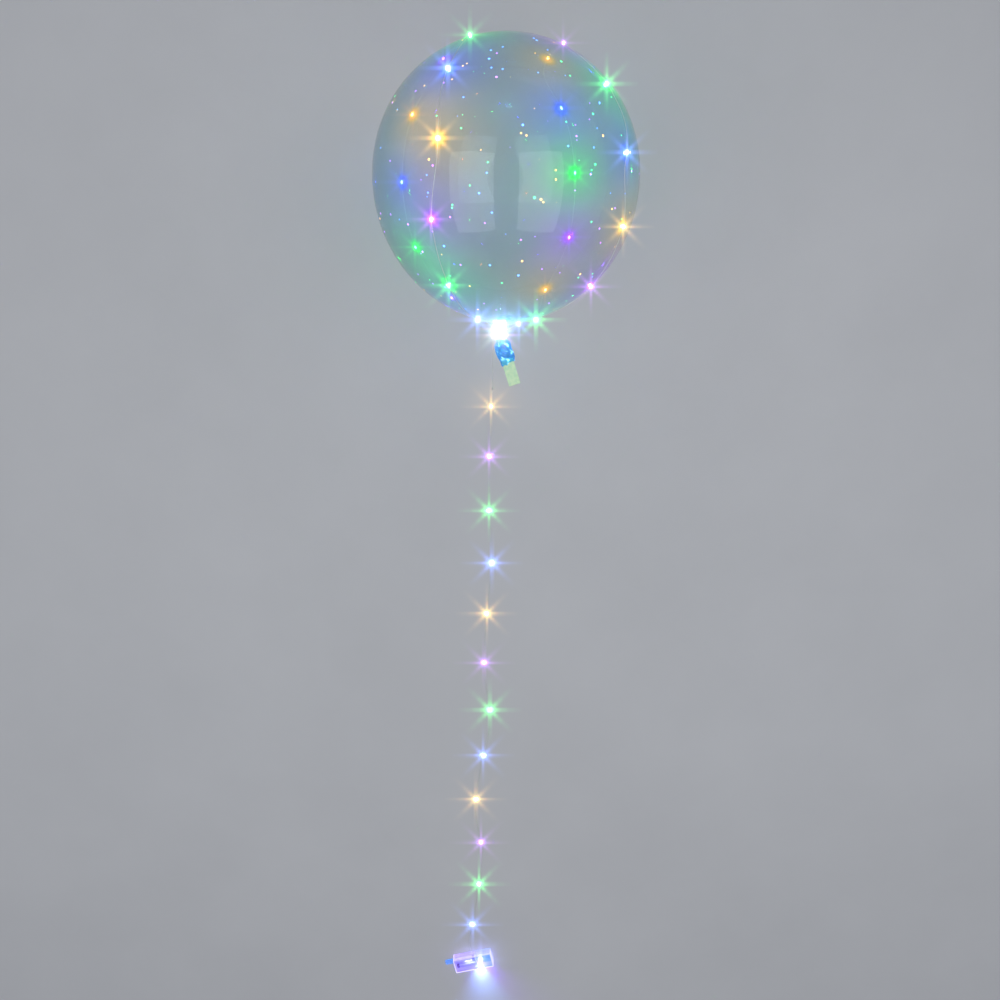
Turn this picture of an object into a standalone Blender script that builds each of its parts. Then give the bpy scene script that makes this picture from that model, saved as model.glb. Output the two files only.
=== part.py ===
"""Clear film balloon with a wire of small lamps, laid on the floor, and its battery case.

Metres, +Z up. The origin is the middle of the small flat spot that the balloon rests on.
The neck points along -Y, and the wire runs from it along the floor to the case.
"""
import math

import bmesh
import bpy
import numpy as np
from mathutils import Matrix, Vector

# Balloon film
BALLOON_RADIUS = 0.190
FLAT_SPOT_RADIUS = 0.028
BALLOON_STEPS = 36
BALLOON_SWING = math.radians(-2.3)
NECK_DRAW = 0.0180
DRAW_POWER = 1.5
FLARE_RADIUS = 0.028
FLARE_PULL = 0.5
NECK_RADIUS = 0.0076
NECK_STANDOFF = 0.0170
NECK_SPARE = 0.0008

# Film left below the tie, and the filling valve in it
SKIRT_LEAN = math.radians(19.5)
SKIRT_LENGTH = 0.0410
SKIRT_WIDTH = 0.0260
SKIRT_THICKNESS = 0.0026
SKIRT_OVERLAP = 0.0040
VALVE_WIDTH = 0.0180
VALVE_THICKNESS = 0.0005
VALVE_DEPTH = 0.0080
VALVE_SHOWN = 0.0330

# Wire and lamps
WIRE_RADIUS = 0.0004
BEAD_RADIUS = 0.0015
BEAD_LENGTH = 0.0050
BEAD_SHOULDER = 0.0024
BEAD_STEPS = 8
LAMP_PITCH = 0.1000
LOOP_LAMPS = 28
FIRST_LAMP = 0.0060
TAIL_LAMPS = 12
TAIL_FIRST_LAMP = 0.2070
SLEEVE_RADIUS = 0.0013
SLEEVE_LENGTH = 0.0060
SLEEVE_TO_LAMP = 0.0430
LAMP_TO_SLEEVE = 0.0200

# Turns of wire around the neck
TURN_STANDOFF = 0.0026
START_TURNS = 4.43
LINK_TURNS = 2.55
LINK_START = 0.0025
TURNS_APART = 1.2

# Battery case
CASE_CENTRE = Vector((-0.0636, -1.5420, 0.0))
CASE_TURN = math.radians(13.0)
CASE_LENGTH = 0.0790
CASE_WIDTH = 0.0320
CASE_HEIGHT = 0.0170
CASE_WALL = 0.0013
CASE_CORNER = 0.0020
LID_THICKNESS = 0.0015
LID_LIP_DEPTH = 0.0018
LID_LIP_WALL = 0.0010
TAB_LENGTH = 0.0200
TAB_WIDTH = 0.0110
TAB_THICKNESS = 0.0015
TAB_OFF_MIDDLE = 0.0015
TAB_CORNER = 0.0030
RIB_THICKNESS = 0.0012
RIB_HEIGHT = 0.0080
CELL_RADIUS = 0.00525
CELL_LENGTH = 0.0433
NUB_RADIUS = 0.0019
NUB_LENGTH = 0.0012
LAMP_RADIUS = 0.0025
LAMP_RIM_RADIUS = 0.0029
LAMP_RIM_LENGTH = 0.0010
LAMP_LENGTH = 0.0086
LAMP_FROM_RIB = 0.0055
ENTRY_HEIGHT = 0.0045
ENTRY_REACH = 0.0015

# Fits and mesh steps
GAP = 0.0003
WIRE_SAG_ROOM = 0.0002
FILM_STEP = 0.0150
TURN_STEP = 0.0078
FLOOR_STEPS = 3
RUN_PAST_BEAD = 0.0005
FLOOR_ROOM = 0.0001
BORE_ROOM = 0.00005
MERGE = 0.00001
TANGENT_STEP = 0.01

BEAD_RUN = 0.5 * BEAD_LENGTH + RUN_PAST_BEAD
BORE_RADIUS = WIRE_RADIUS + GAP + BORE_ROOM
CENTRE_HEIGHT = math.sqrt(BALLOON_RADIUS ** 2 - FLAT_SPOT_RADIUS ** 2)
FILM_LIFT = WIRE_RADIUS + GAP + WIRE_SAG_ROOM
BEAD_LIFT = BEAD_RADIUS + GAP + WIRE_SAG_ROOM
FLOOR_LIFT = BEAD_RADIUS + FLOOR_ROOM
FLARE_ANGLE = math.pi - math.asin(FLARE_RADIUS / BALLOON_RADIUS)
NECK_START = BALLOON_RADIUS + NECK_STANDOFF
TURN_RADIUS = NECK_RADIUS + TURN_STANDOFF
TURN_PITCH = BEAD_RADIUS + WIRE_RADIUS + GAP
LINK_STATION = NECK_START + LINK_START
START_STATION = LINK_STATION + (LINK_TURNS + TURNS_APART + START_TURNS) * TURN_PITCH
NECK_END = START_STATION + BEAD_RADIUS + NECK_SPARE
OVER_RADIUS = math.sqrt(TURN_RADIUS ** 2 - BEAD_RUN ** 2) + BEAD_RADIUS + WIRE_RADIUS + 2 * GAP
BALLOON_PLACE = Matrix.Translation((0, 0, CENTRE_HEIGHT)) @ Matrix.Rotation(BALLOON_SWING, 4, "Z")
CASE_PLACE = Matrix.Translation(CASE_CENTRE) @ Matrix.Rotation(CASE_TURN, 4, "Z")

# Places on the film that the wire passes, as (degrees round the neck's axis, degrees from the top)
RIGHT_LOOP = [
    (126, 160), (142, 147), (143, 117), (145, 89), (148, 63), (155, 39), (112, 22),
    (60, 28), (61, 47), (62, 67), (55, 86), (62, 109), (68, 137), (72, 158),
]
LEFT_LOOP = [
    (235, 160), (234, 151), (236, 123), (236, 95), (236, 67), (238, 41), (294, 19),
    (321, 35), (327, 57), (332, 81), (329, 107), (328, 135), (323, 158),
]

# Where the wire leaves over its own turns, as (degrees past the left loop, share of the neck,
# share of OVER_RADIUS)
OVER_TURNS = [(0, 0.0, 1.20), (22, 0.24, 1.0), (51, 0.50, 1.0), (77, 0.80, 1.0), (91, 1.15, 1.10)]

# Places of the wire between the neck and the case
TAIL_ROUTE = [
    (-0.0195, -0.2460, 0.1560), (-0.0200, -0.2720, 0.1180), (-0.0208, -0.3050, 0.0790),
    (-0.0222, -0.3450, 0.0430), (-0.0241, -0.3860, 0.0185), (-0.0258, -0.4200, 0.0065),
    (-0.0270, -0.4450, 0.0024), (-0.0276, -0.4700, FLOOR_LIFT), (-0.0280, -0.5000, FLOOR_LIFT),
    (-0.0281, -0.5670, FLOOR_LIFT), (-0.0235, -0.6640, FLOOR_LIFT), (-0.0340, -0.7730, FLOOR_LIFT),
    (-0.0380, -0.8830, FLOOR_LIFT), (-0.0270, -0.9830, FLOOR_LIFT), (-0.0450, -1.0840, FLOOR_LIFT),
    (-0.0568, -1.1870, FLOOR_LIFT), (-0.0440, -1.2850, FLOOR_LIFT), (-0.0553, -1.3910, FLOOR_LIFT),
    (-0.0682, -1.4780, FLOOR_LIFT),
]

LAMP_COLOURS = [
    ("amber", (1.0, 0.45, 0.08)),
    ("purple", (0.45, 0.16, 1.0)),
    ("green", (0.05, 0.9, 0.25)),
    ("blue", (0.08, 0.25, 1.0)),
]


def clear_scene():
    for item in list(bpy.data.objects):
        bpy.data.objects.remove(item)


def make_collection(name):
    collection = bpy.data.collections.new(name)
    bpy.context.scene.collection.children.link(collection)
    return collection


def make_material(name, colour, roughness, metallic=0.0, alpha=1.0):
    material = bpy.data.materials.new(name)
    material.use_nodes = True
    shader = material.node_tree.nodes["Principled BSDF"]
    shader.inputs["Base Color"].default_value = (*colour, 1.0)
    shader.inputs["Roughness"].default_value = roughness
    shader.inputs["Metallic"].default_value = metallic
    shader.inputs["Alpha"].default_value = alpha
    return material


def add_object(name, data, place, collection, material=None):
    item = bpy.data.objects.new(name, data)
    collection.objects.link(item)
    item.matrix_world = place
    if material is not None and not data.materials:
        data.materials.append(material)
    return item


def box_mesh(name, size, centre, corner=0.0):
    """A box of the given size, its four upright edges rounded by corner."""
    shape = bmesh.new()
    bmesh.ops.create_cube(shape, size=1.0)
    bmesh.ops.scale(shape, vec=size, verts=shape.verts)
    bmesh.ops.translate(shape, vec=centre, verts=shape.verts)
    if corner > 0:
        upright = [e for e in shape.edges if abs(e.verts[0].co.z - e.verts[1].co.z) > 0.5 * size[2]]
        bmesh.ops.bevel(shape, geom=upright, offset=corner, segments=3, profile=0.5, affect="EDGES")
    mesh = bpy.data.meshes.new(name)
    shape.to_mesh(mesh)
    shape.free()
    return mesh


def profile_mesh(name, points, closed):
    mesh = bpy.data.meshes.new(name)
    count = len(points)
    edges = [(i, i + 1) for i in range(count - 1)]
    if closed:
        edges.append((count - 1, 0))
    mesh.from_pydata([(radius, 0.0, height) for radius, height in points], edges, [])
    return mesh


def turn(item, steps):
    screw = item.modifiers.new("turn", "SCREW")
    screw.steps = steps
    screw.render_steps = steps
    screw.use_merge_vertices = True
    screw.merge_threshold = MERGE
    screw.use_smooth_shade = True


def boolean(item, other, operation):
    modifier = item.modifiers.new(operation.lower(), "BOOLEAN")
    modifier.operation = operation
    modifier.solver = "EXACT"
    modifier.object = other


def hide_cutter(item):
    item.hide_render = True
    item.display_type = "WIRE"


def add_cutter(name, mesh, place, cutters):
    item = add_object(name, mesh, place, cutters)
    hide_cutter(item)
    return item


def film_reach(top_angle):
    """From the balloon's centre to the film: round at first, and drawn out towards the neck."""
    past_middle = max(0.0, top_angle / (0.5 * math.pi) - 1.0)
    return BALLOON_RADIUS + NECK_DRAW * past_middle ** DRAW_POWER


def film_outline(top_angle):
    return Vector((math.sin(top_angle), math.cos(top_angle))) * film_reach(top_angle)


def balloon_profile():
    """Half outline from the top, round the film, in along the flare and down the neck."""
    rings = BALLOON_STEPS // 2
    points = [tuple(film_outline(FLARE_ANGLE * i / (rings - 1))) for i in range(rings)]
    start = Vector(points[-1])
    end = Vector((NECK_RADIUS, -NECK_START))
    reach = (end - start).length
    leave = (start - film_outline(FLARE_ANGLE - TANGENT_STEP)).normalized() * reach
    arrive = Vector((0.0, -1.0)) * reach * FLARE_PULL
    for t in (0.25, 0.5, 0.75, 1.0):
        point = start * (2 * t ** 3 - 3 * t ** 2 + 1) + leave * (t ** 3 - 2 * t ** 2 + t)
        point += end * (3 * t ** 2 - 2 * t ** 3) + arrive * (t ** 3 - t ** 2)
        points.append((point.x, point.y))
    points.append((NECK_RADIUS, -NECK_END))
    points.append((0.0, -NECK_END))
    return points


def skirt_mesh():
    """The film below the tie: a loft from a round gathered bunch to a wide flat end along -Y."""
    sides = 16
    sections = [
        (0.0, 0.70 * NECK_RADIUS, 0.70 * NECK_RADIUS),
        (SKIRT_OVERLAP + 0.0005, 0.90 * NECK_RADIUS, 0.80 * NECK_RADIUS),
        (SKIRT_OVERLAP + 0.0050, 0.40 * SKIRT_WIDTH, 0.50 * NECK_RADIUS),
        (SKIRT_OVERLAP + 0.0110, 0.47 * SKIRT_WIDTH, 0.70 * SKIRT_THICKNESS),
        (SKIRT_OVERLAP + 0.5 * SKIRT_LENGTH, 0.49 * SKIRT_WIDTH, 0.60 * SKIRT_THICKNESS),
        (SKIRT_OVERLAP + SKIRT_LENGTH, 0.50 * SKIRT_WIDTH, 0.50 * SKIRT_THICKNESS),
    ]
    shape = bmesh.new()
    rings = []
    for distance, half_width, half_thickness in sections:
        ring = []
        for i in range(sides):
            angle = math.tau * i / sides
            across = half_width * math.copysign(abs(math.cos(angle)) ** 0.8, math.cos(angle))
            up = half_thickness * math.copysign(abs(math.sin(angle)) ** 0.8, math.sin(angle))
            ring.append(shape.verts.new((across, -distance, up)))
        rings.append(ring)
    for near, far in zip(rings, rings[1:]):
        for i in range(sides):
            j = (i + 1) % sides
            shape.faces.new((near[i], near[j], far[j], far[i]))
    shape.faces.new(list(reversed(rings[0])))
    shape.faces.new(rings[-1])
    bmesh.ops.recalc_face_normals(shape, faces=shape.faces)
    mesh = bpy.data.meshes.new("skirt")
    shape.to_mesh(mesh)
    shape.free()
    return mesh


def build_balloon(parts, cutters):
    film = make_material("clear film", (0.80, 0.92, 0.96), 0.08, alpha=0.25)
    upright = Matrix.Rotation(math.radians(-90), 4, "X")
    mesh = profile_mesh("balloon", balloon_profile(), closed=False)
    balloon = add_object("balloon", mesh, BALLOON_PLACE @ upright, parts, film)
    turn(balloon, BALLOON_STEPS)

    skirt_start = Matrix.Translation((0, -(NECK_END - SKIRT_OVERLAP), 0))
    skirt_place = BALLOON_PLACE @ skirt_start @ Matrix.Rotation(SKIRT_LEAN, 4, "Z")
    skirt = add_cutter("skirt", skirt_mesh(), skirt_place, cutters)
    boolean(balloon, skirt, "UNION")

    skirt_end = SKIRT_OVERLAP + SKIRT_LENGTH
    slot_size = (VALVE_WIDTH + 2 * GAP, 2 * VALVE_DEPTH, VALVE_THICKNESS + 2 * GAP)
    slot_mesh = box_mesh("valve slot", slot_size, (0, -skirt_end, 0))
    boolean(balloon, add_cutter("valve slot", slot_mesh, skirt_place, cutters), "DIFFERENCE")

    below = 2 * BALLOON_RADIUS
    floor_mesh = box_mesh("floor cut", (below, below, below), (0, 0, -0.5 * below))
    boolean(balloon, add_cutter("floor cut", floor_mesh, Matrix.Identity(4), cutters), "DIFFERENCE")

    length = VALVE_DEPTH - GAP + VALVE_SHOWN
    middle = skirt_end - (VALVE_DEPTH - GAP) + 0.5 * length
    valve_mesh = box_mesh("valve_strip", (VALVE_WIDTH, length, VALVE_THICKNESS), (0, -middle, 0))
    valve = make_material("mint film", (0.62, 0.86, 0.66), 0.55)
    add_object("valve_strip", valve_mesh, skirt_place, parts, valve)


def film_point(round_degrees, top_degrees, lift=FILM_LIFT):
    round_angle = math.radians(round_degrees)
    top_angle = math.radians(top_degrees)
    across = math.sin(top_angle)
    direction = Vector((across * math.sin(round_angle), math.cos(top_angle), across * math.cos(round_angle)))
    return direction * (film_reach(top_angle) + lift)


def neck_point(round_degrees, station, radius):
    angle = math.radians(round_degrees)
    return Vector((radius * math.sin(angle), -station, radius * math.cos(angle)))


def neck_turns(first_degrees, turns, station, step):
    """Points of a helix round the neck, running backwards in angle, eight to a turn."""
    count = round(8 * turns)
    points = []
    for i in range(count + 1):
        share = turns * i / count
        points.append(neck_point(first_degrees - 360 * share, station + step * share, TURN_RADIUS))
    return points


def balloon_route():
    """The wire's places from its first end on the neck, over both loops, to below the neck."""
    right_up = RIGHT_LOOP[0][0]
    right_down = RIGHT_LOOP[-1][0]
    left_down = LEFT_LOOP[-1][0]
    start = neck_turns(right_up + 360 * START_TURNS, START_TURNS, START_STATION, -TURN_PITCH)
    link = neck_turns(right_down, LINK_TURNS, LINK_STATION, TURN_PITCH)
    crossing = NECK_END - LINK_STATION
    over = []
    for past, share, out in OVER_TURNS:
        over.append(neck_point(left_down - past, LINK_STATION + share * crossing, out * OVER_RADIUS))
    route = start
    route += [film_point(*place) for place in RIGHT_LOOP]
    route += link
    route += [film_point(*place) for place in LEFT_LOOP]
    route += over
    return [BALLOON_PLACE @ point for point in route]


def case_route():
    """The last places, level into the hole in the middle of the case's long side."""
    outside = 0.5 * CASE_WIDTH + 0.0090
    inside = 0.5 * CASE_WIDTH - CASE_WALL - ENTRY_REACH
    mid_height = 0.5 * (ENTRY_HEIGHT + FLOOR_LIFT)
    return [
        CASE_PLACE @ Vector((0, outside + 0.0120, FLOOR_LIFT + 0.0003)),
        CASE_PLACE @ Vector((0, outside, mid_height)),
        CASE_PLACE @ Vector((0, 0.5 * CASE_WIDTH + 0.0020, ENTRY_HEIGHT)),
        CASE_PLACE @ Vector((0, inside, ENTRY_HEIGHT)),
    ]


def smooth_curve(route):
    """Dense points of a centripetal Catmull-Rom curve through the route."""
    points = [np.array(p, dtype=float) for p in route]
    points.insert(0, 2 * points[0] - points[1])
    points.append(2 * points[-1] - points[-2])
    dense = []
    for a, b, c, d in zip(points, points[1:], points[2:], points[3:]):
        t1 = math.sqrt(np.linalg.norm(b - a))
        t2 = t1 + math.sqrt(np.linalg.norm(c - b))
        t3 = t2 + math.sqrt(np.linalg.norm(d - c))
        count = max(6, round(np.linalg.norm(c - b) / 0.0015))
        for t in np.linspace(t1, t2, count, endpoint=False):
            ab = a + (b - a) * t / t1
            bc = b + (c - b) * (t - t1) / (t2 - t1)
            cd = c + (d - c) * (t - t2) / (t3 - t2)
            abc = ab + (bc - ab) * t / t2
            bcd = bc + (cd - bc) * (t - t1) / (t3 - t1)
            dense.append(abc + (bcd - abc) * (t - t1) / (t2 - t1))
    dense.append(points[-2])
    return np.array(dense)


def lengths_along(dense):
    steps = np.linalg.norm(np.diff(dense, axis=0), axis=1)
    return np.concatenate([[0.0], np.cumsum(steps)])


def point_at(dense, lengths, length):
    return Vector([float(np.interp(length, lengths, dense[:, axis])) for axis in range(3)])


def angle_from_top(away):
    """The angle between the balloon's top and a way out from its centre."""
    neck_way = BALLOON_PLACE.to_3x3() @ Vector((0, -1, 0))
    return math.pi - away.angle(neck_way)


def press_to_film(dense, count):
    """Puts the first points at the wire's height over the film, and lets none of them into the flare."""
    centre = Vector((0.0, 0.0, CENTRE_HEIGHT))
    last_film = math.radians(RIGHT_LOOP[0][1])
    result = dense.copy()
    for i, point in enumerate(dense[:count]):
        away = Vector(point) - centre
        angle = angle_from_top(away)
        over_film = film_reach(angle) + FILM_LIFT
        in_film = angle < FLARE_ANGLE and away.length < over_film
        if angle < last_film or in_film:
            result[i] = centre + away.normalized() * over_film
    return result


def lift_over_film(point, lift):
    """The point moved straight away from the balloon's centre to the given height over the film."""
    centre = Vector((0.0, 0.0, CENTRE_HEIGHT))
    away = point - centre
    film = film_reach(angle_from_top(away))
    if abs(away.length - film - FILM_LIFT) > 0.0002:
        return point
    return centre + away.normalized() * (film + lift)


def wire_points(dense, lengths, first, last, stops, steps_between):
    """Ends, straight runs through each stop, and the points between them, as (place, at a stop)."""
    marks = [(first, False)]
    for stop in stops:
        marks.append((stop - BEAD_RUN, True))
        marks.append((stop + BEAD_RUN, True))
    marks.append((last, False))
    points = []
    for index, (length, at_stop) in enumerate(marks):
        points.append((point_at(dense, lengths, length), at_stop))
        if index + 1 == len(marks):
            break
        following = marks[index + 1][0]
        inside_stop = at_stop and marks[index + 1][1] and following - length < 2.01 * BEAD_RUN
        if inside_stop:
            continue
        count = steps_between(length, following)
        for i in range(1, count):
            between = length + (following - length) * i / count
            points.append((point_at(dense, lengths, between), False))
    return points


def add_wire(name, places, parts, material):
    curve = bpy.data.curves.new(name, "CURVE")
    curve.dimensions = "3D"
    curve.bevel_depth = WIRE_RADIUS
    curve.bevel_resolution = 2
    curve.use_fill_caps = True
    spline = curve.splines.new("POLY")
    spline.points.add(len(places) - 1)
    for point, place in zip(spline.points, places):
        point.co = (*place, 1.0)
    add_object(name, curve, Matrix.Identity(4), parts, material)


def along(place, other):
    """A placing midway between two points, its Z axis from one to the other."""
    turn_to = (other - place).to_track_quat("Z", "Y").to_matrix().to_4x4()
    return Matrix.Translation(0.5 * (place + other)) @ turn_to


def bead_profile():
    return [
        (BORE_RADIUS, 0.5 * BEAD_LENGTH), (BEAD_RADIUS, 0.5 * BEAD_SHOULDER),
        (BEAD_RADIUS, -0.5 * BEAD_SHOULDER), (BORE_RADIUS, -0.5 * BEAD_LENGTH),
    ]


def sleeve_profile():
    return [
        (BORE_RADIUS, 0.5 * SLEEVE_LENGTH), (SLEEVE_RADIUS, 0.5 * SLEEVE_LENGTH),
        (SLEEVE_RADIUS, -0.5 * SLEEVE_LENGTH), (BORE_RADIUS, -0.5 * SLEEVE_LENGTH),
    ]


def stop_pairs(points):
    """The pairs of points that hold a straight run, in order."""
    held = [place for place, at_stop in points if at_stop]
    return list(zip(held[0::2], held[1::2]))


def build_lights(parts):
    copper = make_material("bare copper pair", (0.62, 0.66, 0.62), 0.35, metallic=0.9)
    grey = make_material("grey sleeve", (0.38, 0.38, 0.40), 0.5)
    beads = []
    for colour_name, colour in LAMP_COLOURS:
        material = make_material(f"{colour_name} resin", colour, 0.2)
        mesh = profile_mesh(f"bead {colour_name}", bead_profile(), closed=True)
        mesh.materials.append(material)
        beads.append(mesh)

    route = balloon_route()
    whole = smooth_curve(route + [Vector(p) for p in TAIL_ROUTE] + case_route())
    split_index = int(np.argmin(np.linalg.norm(whole - np.array(route[-1]), axis=1)))
    dense = press_to_film(whole, split_index)
    lengths = lengths_along(dense)
    split = float(lengths[split_index])
    end = float(lengths[-1])

    loop_stops = [FIRST_LAMP + LAMP_PITCH * i for i in range(LOOP_LAMPS)]
    neck_way = BALLOON_PLACE.to_3x3() @ Vector((0, -1, 0))
    centre = Vector((0, 0, CENTRE_HEIGHT))

    def loop_steps(start, stop):
        middle = point_at(dense, lengths, 0.5 * (start + stop))
        on_neck = (middle - centre).dot(neck_way) > NECK_START - 0.001
        step = TURN_STEP if on_neck else FILM_STEP
        return max(1, round((stop - start) / step))

    loop_points = wire_points(dense, lengths, 0.0, split - 0.5 * GAP, loop_stops, loop_steps)
    lifted = [(lift_over_film(p, BEAD_LIFT if s else FILM_LIFT), s) for p, s in loop_points]
    add_wire("balloon_wire", [place for place, _ in lifted], parts, copper)

    first_tail_lamp = split + TAIL_FIRST_LAMP
    tail_lamps = [first_tail_lamp + LAMP_PITCH * i for i in range(TAIL_LAMPS)]
    tail_stops = [first_tail_lamp - SLEEVE_TO_LAMP] + tail_lamps + [tail_lamps[-1] + LAMP_TO_SLEEVE]

    def tail_steps(start, stop):
        if start < split + 0.1 or stop > end - 0.001:
            return max(2, round((stop - start) / 0.012))
        return FLOOR_STEPS + 1 if stop - start > 0.5 * LAMP_PITCH else 2

    tail_points = wire_points(dense, lengths, split + 0.5 * GAP, end, tail_stops, tail_steps)
    add_wire("tail_wire", [place for place, _ in tail_points], parts, copper)

    loop_pairs = stop_pairs(lifted)
    tail_pairs = stop_pairs(tail_points)
    lamp_pairs = loop_pairs + tail_pairs[1:-1]
    for index, (place, other) in enumerate(lamp_pairs):
        mesh = beads[index % len(beads)]
        turn(add_object(f"lamp_{index + 1:02d}", mesh, along(place, other), parts), BEAD_STEPS)
    sleeve_mesh = profile_mesh("sleeve", sleeve_profile(), closed=True)
    for name, pair in (("neck_end_sleeve", tail_pairs[0]), ("case_end_sleeve", tail_pairs[-1])):
        turn(add_object(name, sleeve_mesh, along(*pair), parts, grey), BEAD_STEPS)


def build_case(parts, cutters):
    clear = make_material("clear case plastic", (0.70, 0.74, 0.95), 0.15, alpha=0.35)
    tray_height = CASE_HEIGHT - LID_THICKNESS - GAP
    inner_length = CASE_LENGTH - 2 * CASE_WALL
    inner_width = CASE_WIDTH - 2 * CASE_WALL
    half_length = 0.5 * CASE_LENGTH

    tray_size = (CASE_LENGTH, CASE_WIDTH, tray_height)
    tray_mesh = box_mesh("case_tray", tray_size, (0, 0, 0.5 * tray_height), CASE_CORNER)
    tray = add_object("case_tray", tray_mesh, CASE_PLACE, parts, clear)
    inner_mesh = box_mesh("case inside", (inner_length, inner_width, 2 * tray_height),
                          (0, 0, CASE_WALL + tray_height), CASE_CORNER - CASE_WALL)
    boolean(tray, add_cutter("case inside", inner_mesh, CASE_PLACE, cutters), "DIFFERENCE")

    tab_root = 0.5 * CASE_WALL
    tab_size = (TAB_LENGTH + tab_root, TAB_WIDTH, TAB_THICKNESS)
    tab_centre = (-half_length - 0.5 * TAB_LENGTH + 0.5 * tab_root, TAB_OFF_MIDDLE, 0.5 * TAB_THICKNESS)
    tab_mesh = box_mesh("tab", tab_size, tab_centre, TAB_CORNER)
    boolean(tray, add_cutter("tab", tab_mesh, CASE_PLACE, cutters), "UNION")

    cell_bay = CELL_LENGTH + NUB_LENGTH + 4 * GAP
    rib_x = -0.5 * inner_length + cell_bay + 0.5 * RIB_THICKNESS
    rib_size = (RIB_THICKNESS, inner_width + CASE_WALL, RIB_HEIGHT)
    rib_mesh = box_mesh("rib", rib_size, (rib_x, 0, 0.5 * CASE_WALL + 0.5 * RIB_HEIGHT))
    boolean(tray, add_cutter("rib", rib_mesh, CASE_PLACE, cutters), "UNION")

    hole_mesh = bpy.data.meshes.new("wire hole")
    hole = bmesh.new()
    bmesh.ops.create_cone(hole, cap_ends=True, segments=12, radius1=BORE_RADIUS,
                          radius2=BORE_RADIUS, depth=4 * CASE_WALL)
    hole.to_mesh(hole_mesh)
    hole.free()
    hole_place = CASE_PLACE @ Matrix.Translation((0, 0.5 * CASE_WIDTH - 0.5 * CASE_WALL, ENTRY_HEIGHT))
    hole_place = hole_place @ Matrix.Rotation(math.radians(90), 4, "X")
    boolean(tray, add_cutter("wire hole", hole_mesh, hole_place, cutters), "DIFFERENCE")

    lid_low = tray_height + GAP
    lid_mesh = box_mesh("case_lid", (CASE_LENGTH, CASE_WIDTH, LID_THICKNESS),
                        (0, 0, lid_low + 0.5 * LID_THICKNESS), CASE_CORNER)
    lid = add_object("case_lid", lid_mesh, CASE_PLACE, parts, clear)
    lip_length = inner_length - 2 * GAP
    lip_width = inner_width - 2 * GAP
    lip_height = LID_LIP_DEPTH + 0.5 * LID_THICKNESS
    lip_centre = (0, 0, lid_low + 0.5 * LID_THICKNESS - 0.5 * lip_height)
    lip_mesh = box_mesh("lip", (lip_length, lip_width, lip_height), lip_centre)
    lip = add_cutter("lip", lip_mesh, CASE_PLACE, cutters)
    boolean(lid, lip, "UNION")
    recess_mesh = box_mesh("lip inside", (lip_length - 2 * LID_LIP_WALL, lip_width - 2 * LID_LIP_WALL, LID_LIP_DEPTH),
                           (0, 0, lid_low - 0.5 * LID_LIP_DEPTH))
    boolean(lid, add_cutter("lip inside", recess_mesh, CASE_PLACE, cutters), "DIFFERENCE")

    steel = make_material("cell jacket", (0.72, 0.74, 0.80), 0.35, metallic=0.7)
    cell_profile = [
        (0.0, CELL_LENGTH + NUB_LENGTH), (NUB_RADIUS, CELL_LENGTH + NUB_LENGTH),
        (NUB_RADIUS, CELL_LENGTH), (CELL_RADIUS, CELL_LENGTH), (CELL_RADIUS, 0.0), (0.0, 0.0),
    ]
    cell_mesh = profile_mesh("cell", cell_profile, closed=False)
    floor_height = CASE_WALL + GAP
    for index, side in enumerate((1, -1)):
        low_end = Vector((-0.5 * inner_length + 2 * GAP, side * (CELL_RADIUS + GAP), floor_height + CELL_RADIUS))
        if side > 0:
            way = Matrix.Rotation(math.radians(90), 4, "Y")
            place = Matrix.Translation(low_end) @ way
        else:
            way = Matrix.Rotation(math.radians(-90), 4, "Y")
            place = Matrix.Translation(low_end + Vector((CELL_LENGTH + NUB_LENGTH, 0, 0))) @ way
        turn(add_object(f"battery_cell_{index + 1}", cell_mesh, CASE_PLACE @ place, parts, steel), 16)

    white = make_material("white lamp resin", (0.9, 0.95, 1.0), 0.15)
    dome = [(LAMP_RADIUS * math.sin(a), LAMP_LENGTH - LAMP_RADIUS + LAMP_RADIUS * math.cos(a))
            for a in (0.0, 0.5, 1.0, 0.5 * math.pi)]
    lamp_profile = dome + [
        (LAMP_RADIUS, LAMP_RIM_LENGTH), (LAMP_RIM_RADIUS, LAMP_RIM_LENGTH), (LAMP_RIM_RADIUS, 0.0), (0.0, 0.0),
    ]
    lamp_mesh = profile_mesh("case_lamp", lamp_profile, closed=False)
    lamp_x = rib_x + 0.5 * RIB_THICKNESS + LAMP_FROM_RIB
    lamp_place = Matrix.Translation((lamp_x, 0.0, floor_height + LAMP_RIM_RADIUS))
    lamp_place = lamp_place @ Matrix.Rotation(math.radians(90), 4, "X")
    turn(add_object("case_lamp", lamp_mesh, CASE_PLACE @ lamp_place, parts, white), 12)


def main():
    clear_scene()
    parts = make_collection("led_balloon")
    cutters = make_collection("cutters")
    build_balloon(parts, cutters)
    build_lights(parts)
    build_case(parts, cutters)
    bpy.context.view_layer.update()


main()
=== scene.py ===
import math

import bpy
import numpy as np
from mathutils import Matrix, Vector, noise


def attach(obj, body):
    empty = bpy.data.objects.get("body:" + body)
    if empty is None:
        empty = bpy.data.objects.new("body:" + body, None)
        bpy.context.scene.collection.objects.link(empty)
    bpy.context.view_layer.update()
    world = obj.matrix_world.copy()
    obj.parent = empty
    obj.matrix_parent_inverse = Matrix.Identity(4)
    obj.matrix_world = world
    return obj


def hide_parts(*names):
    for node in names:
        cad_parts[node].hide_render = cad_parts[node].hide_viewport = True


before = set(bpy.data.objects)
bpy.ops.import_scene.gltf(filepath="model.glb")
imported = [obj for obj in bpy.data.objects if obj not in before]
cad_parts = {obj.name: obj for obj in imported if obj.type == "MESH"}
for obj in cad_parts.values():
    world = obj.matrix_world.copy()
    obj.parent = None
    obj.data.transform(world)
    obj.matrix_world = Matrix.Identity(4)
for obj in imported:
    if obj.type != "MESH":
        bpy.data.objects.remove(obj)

scene = bpy.context.scene
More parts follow.
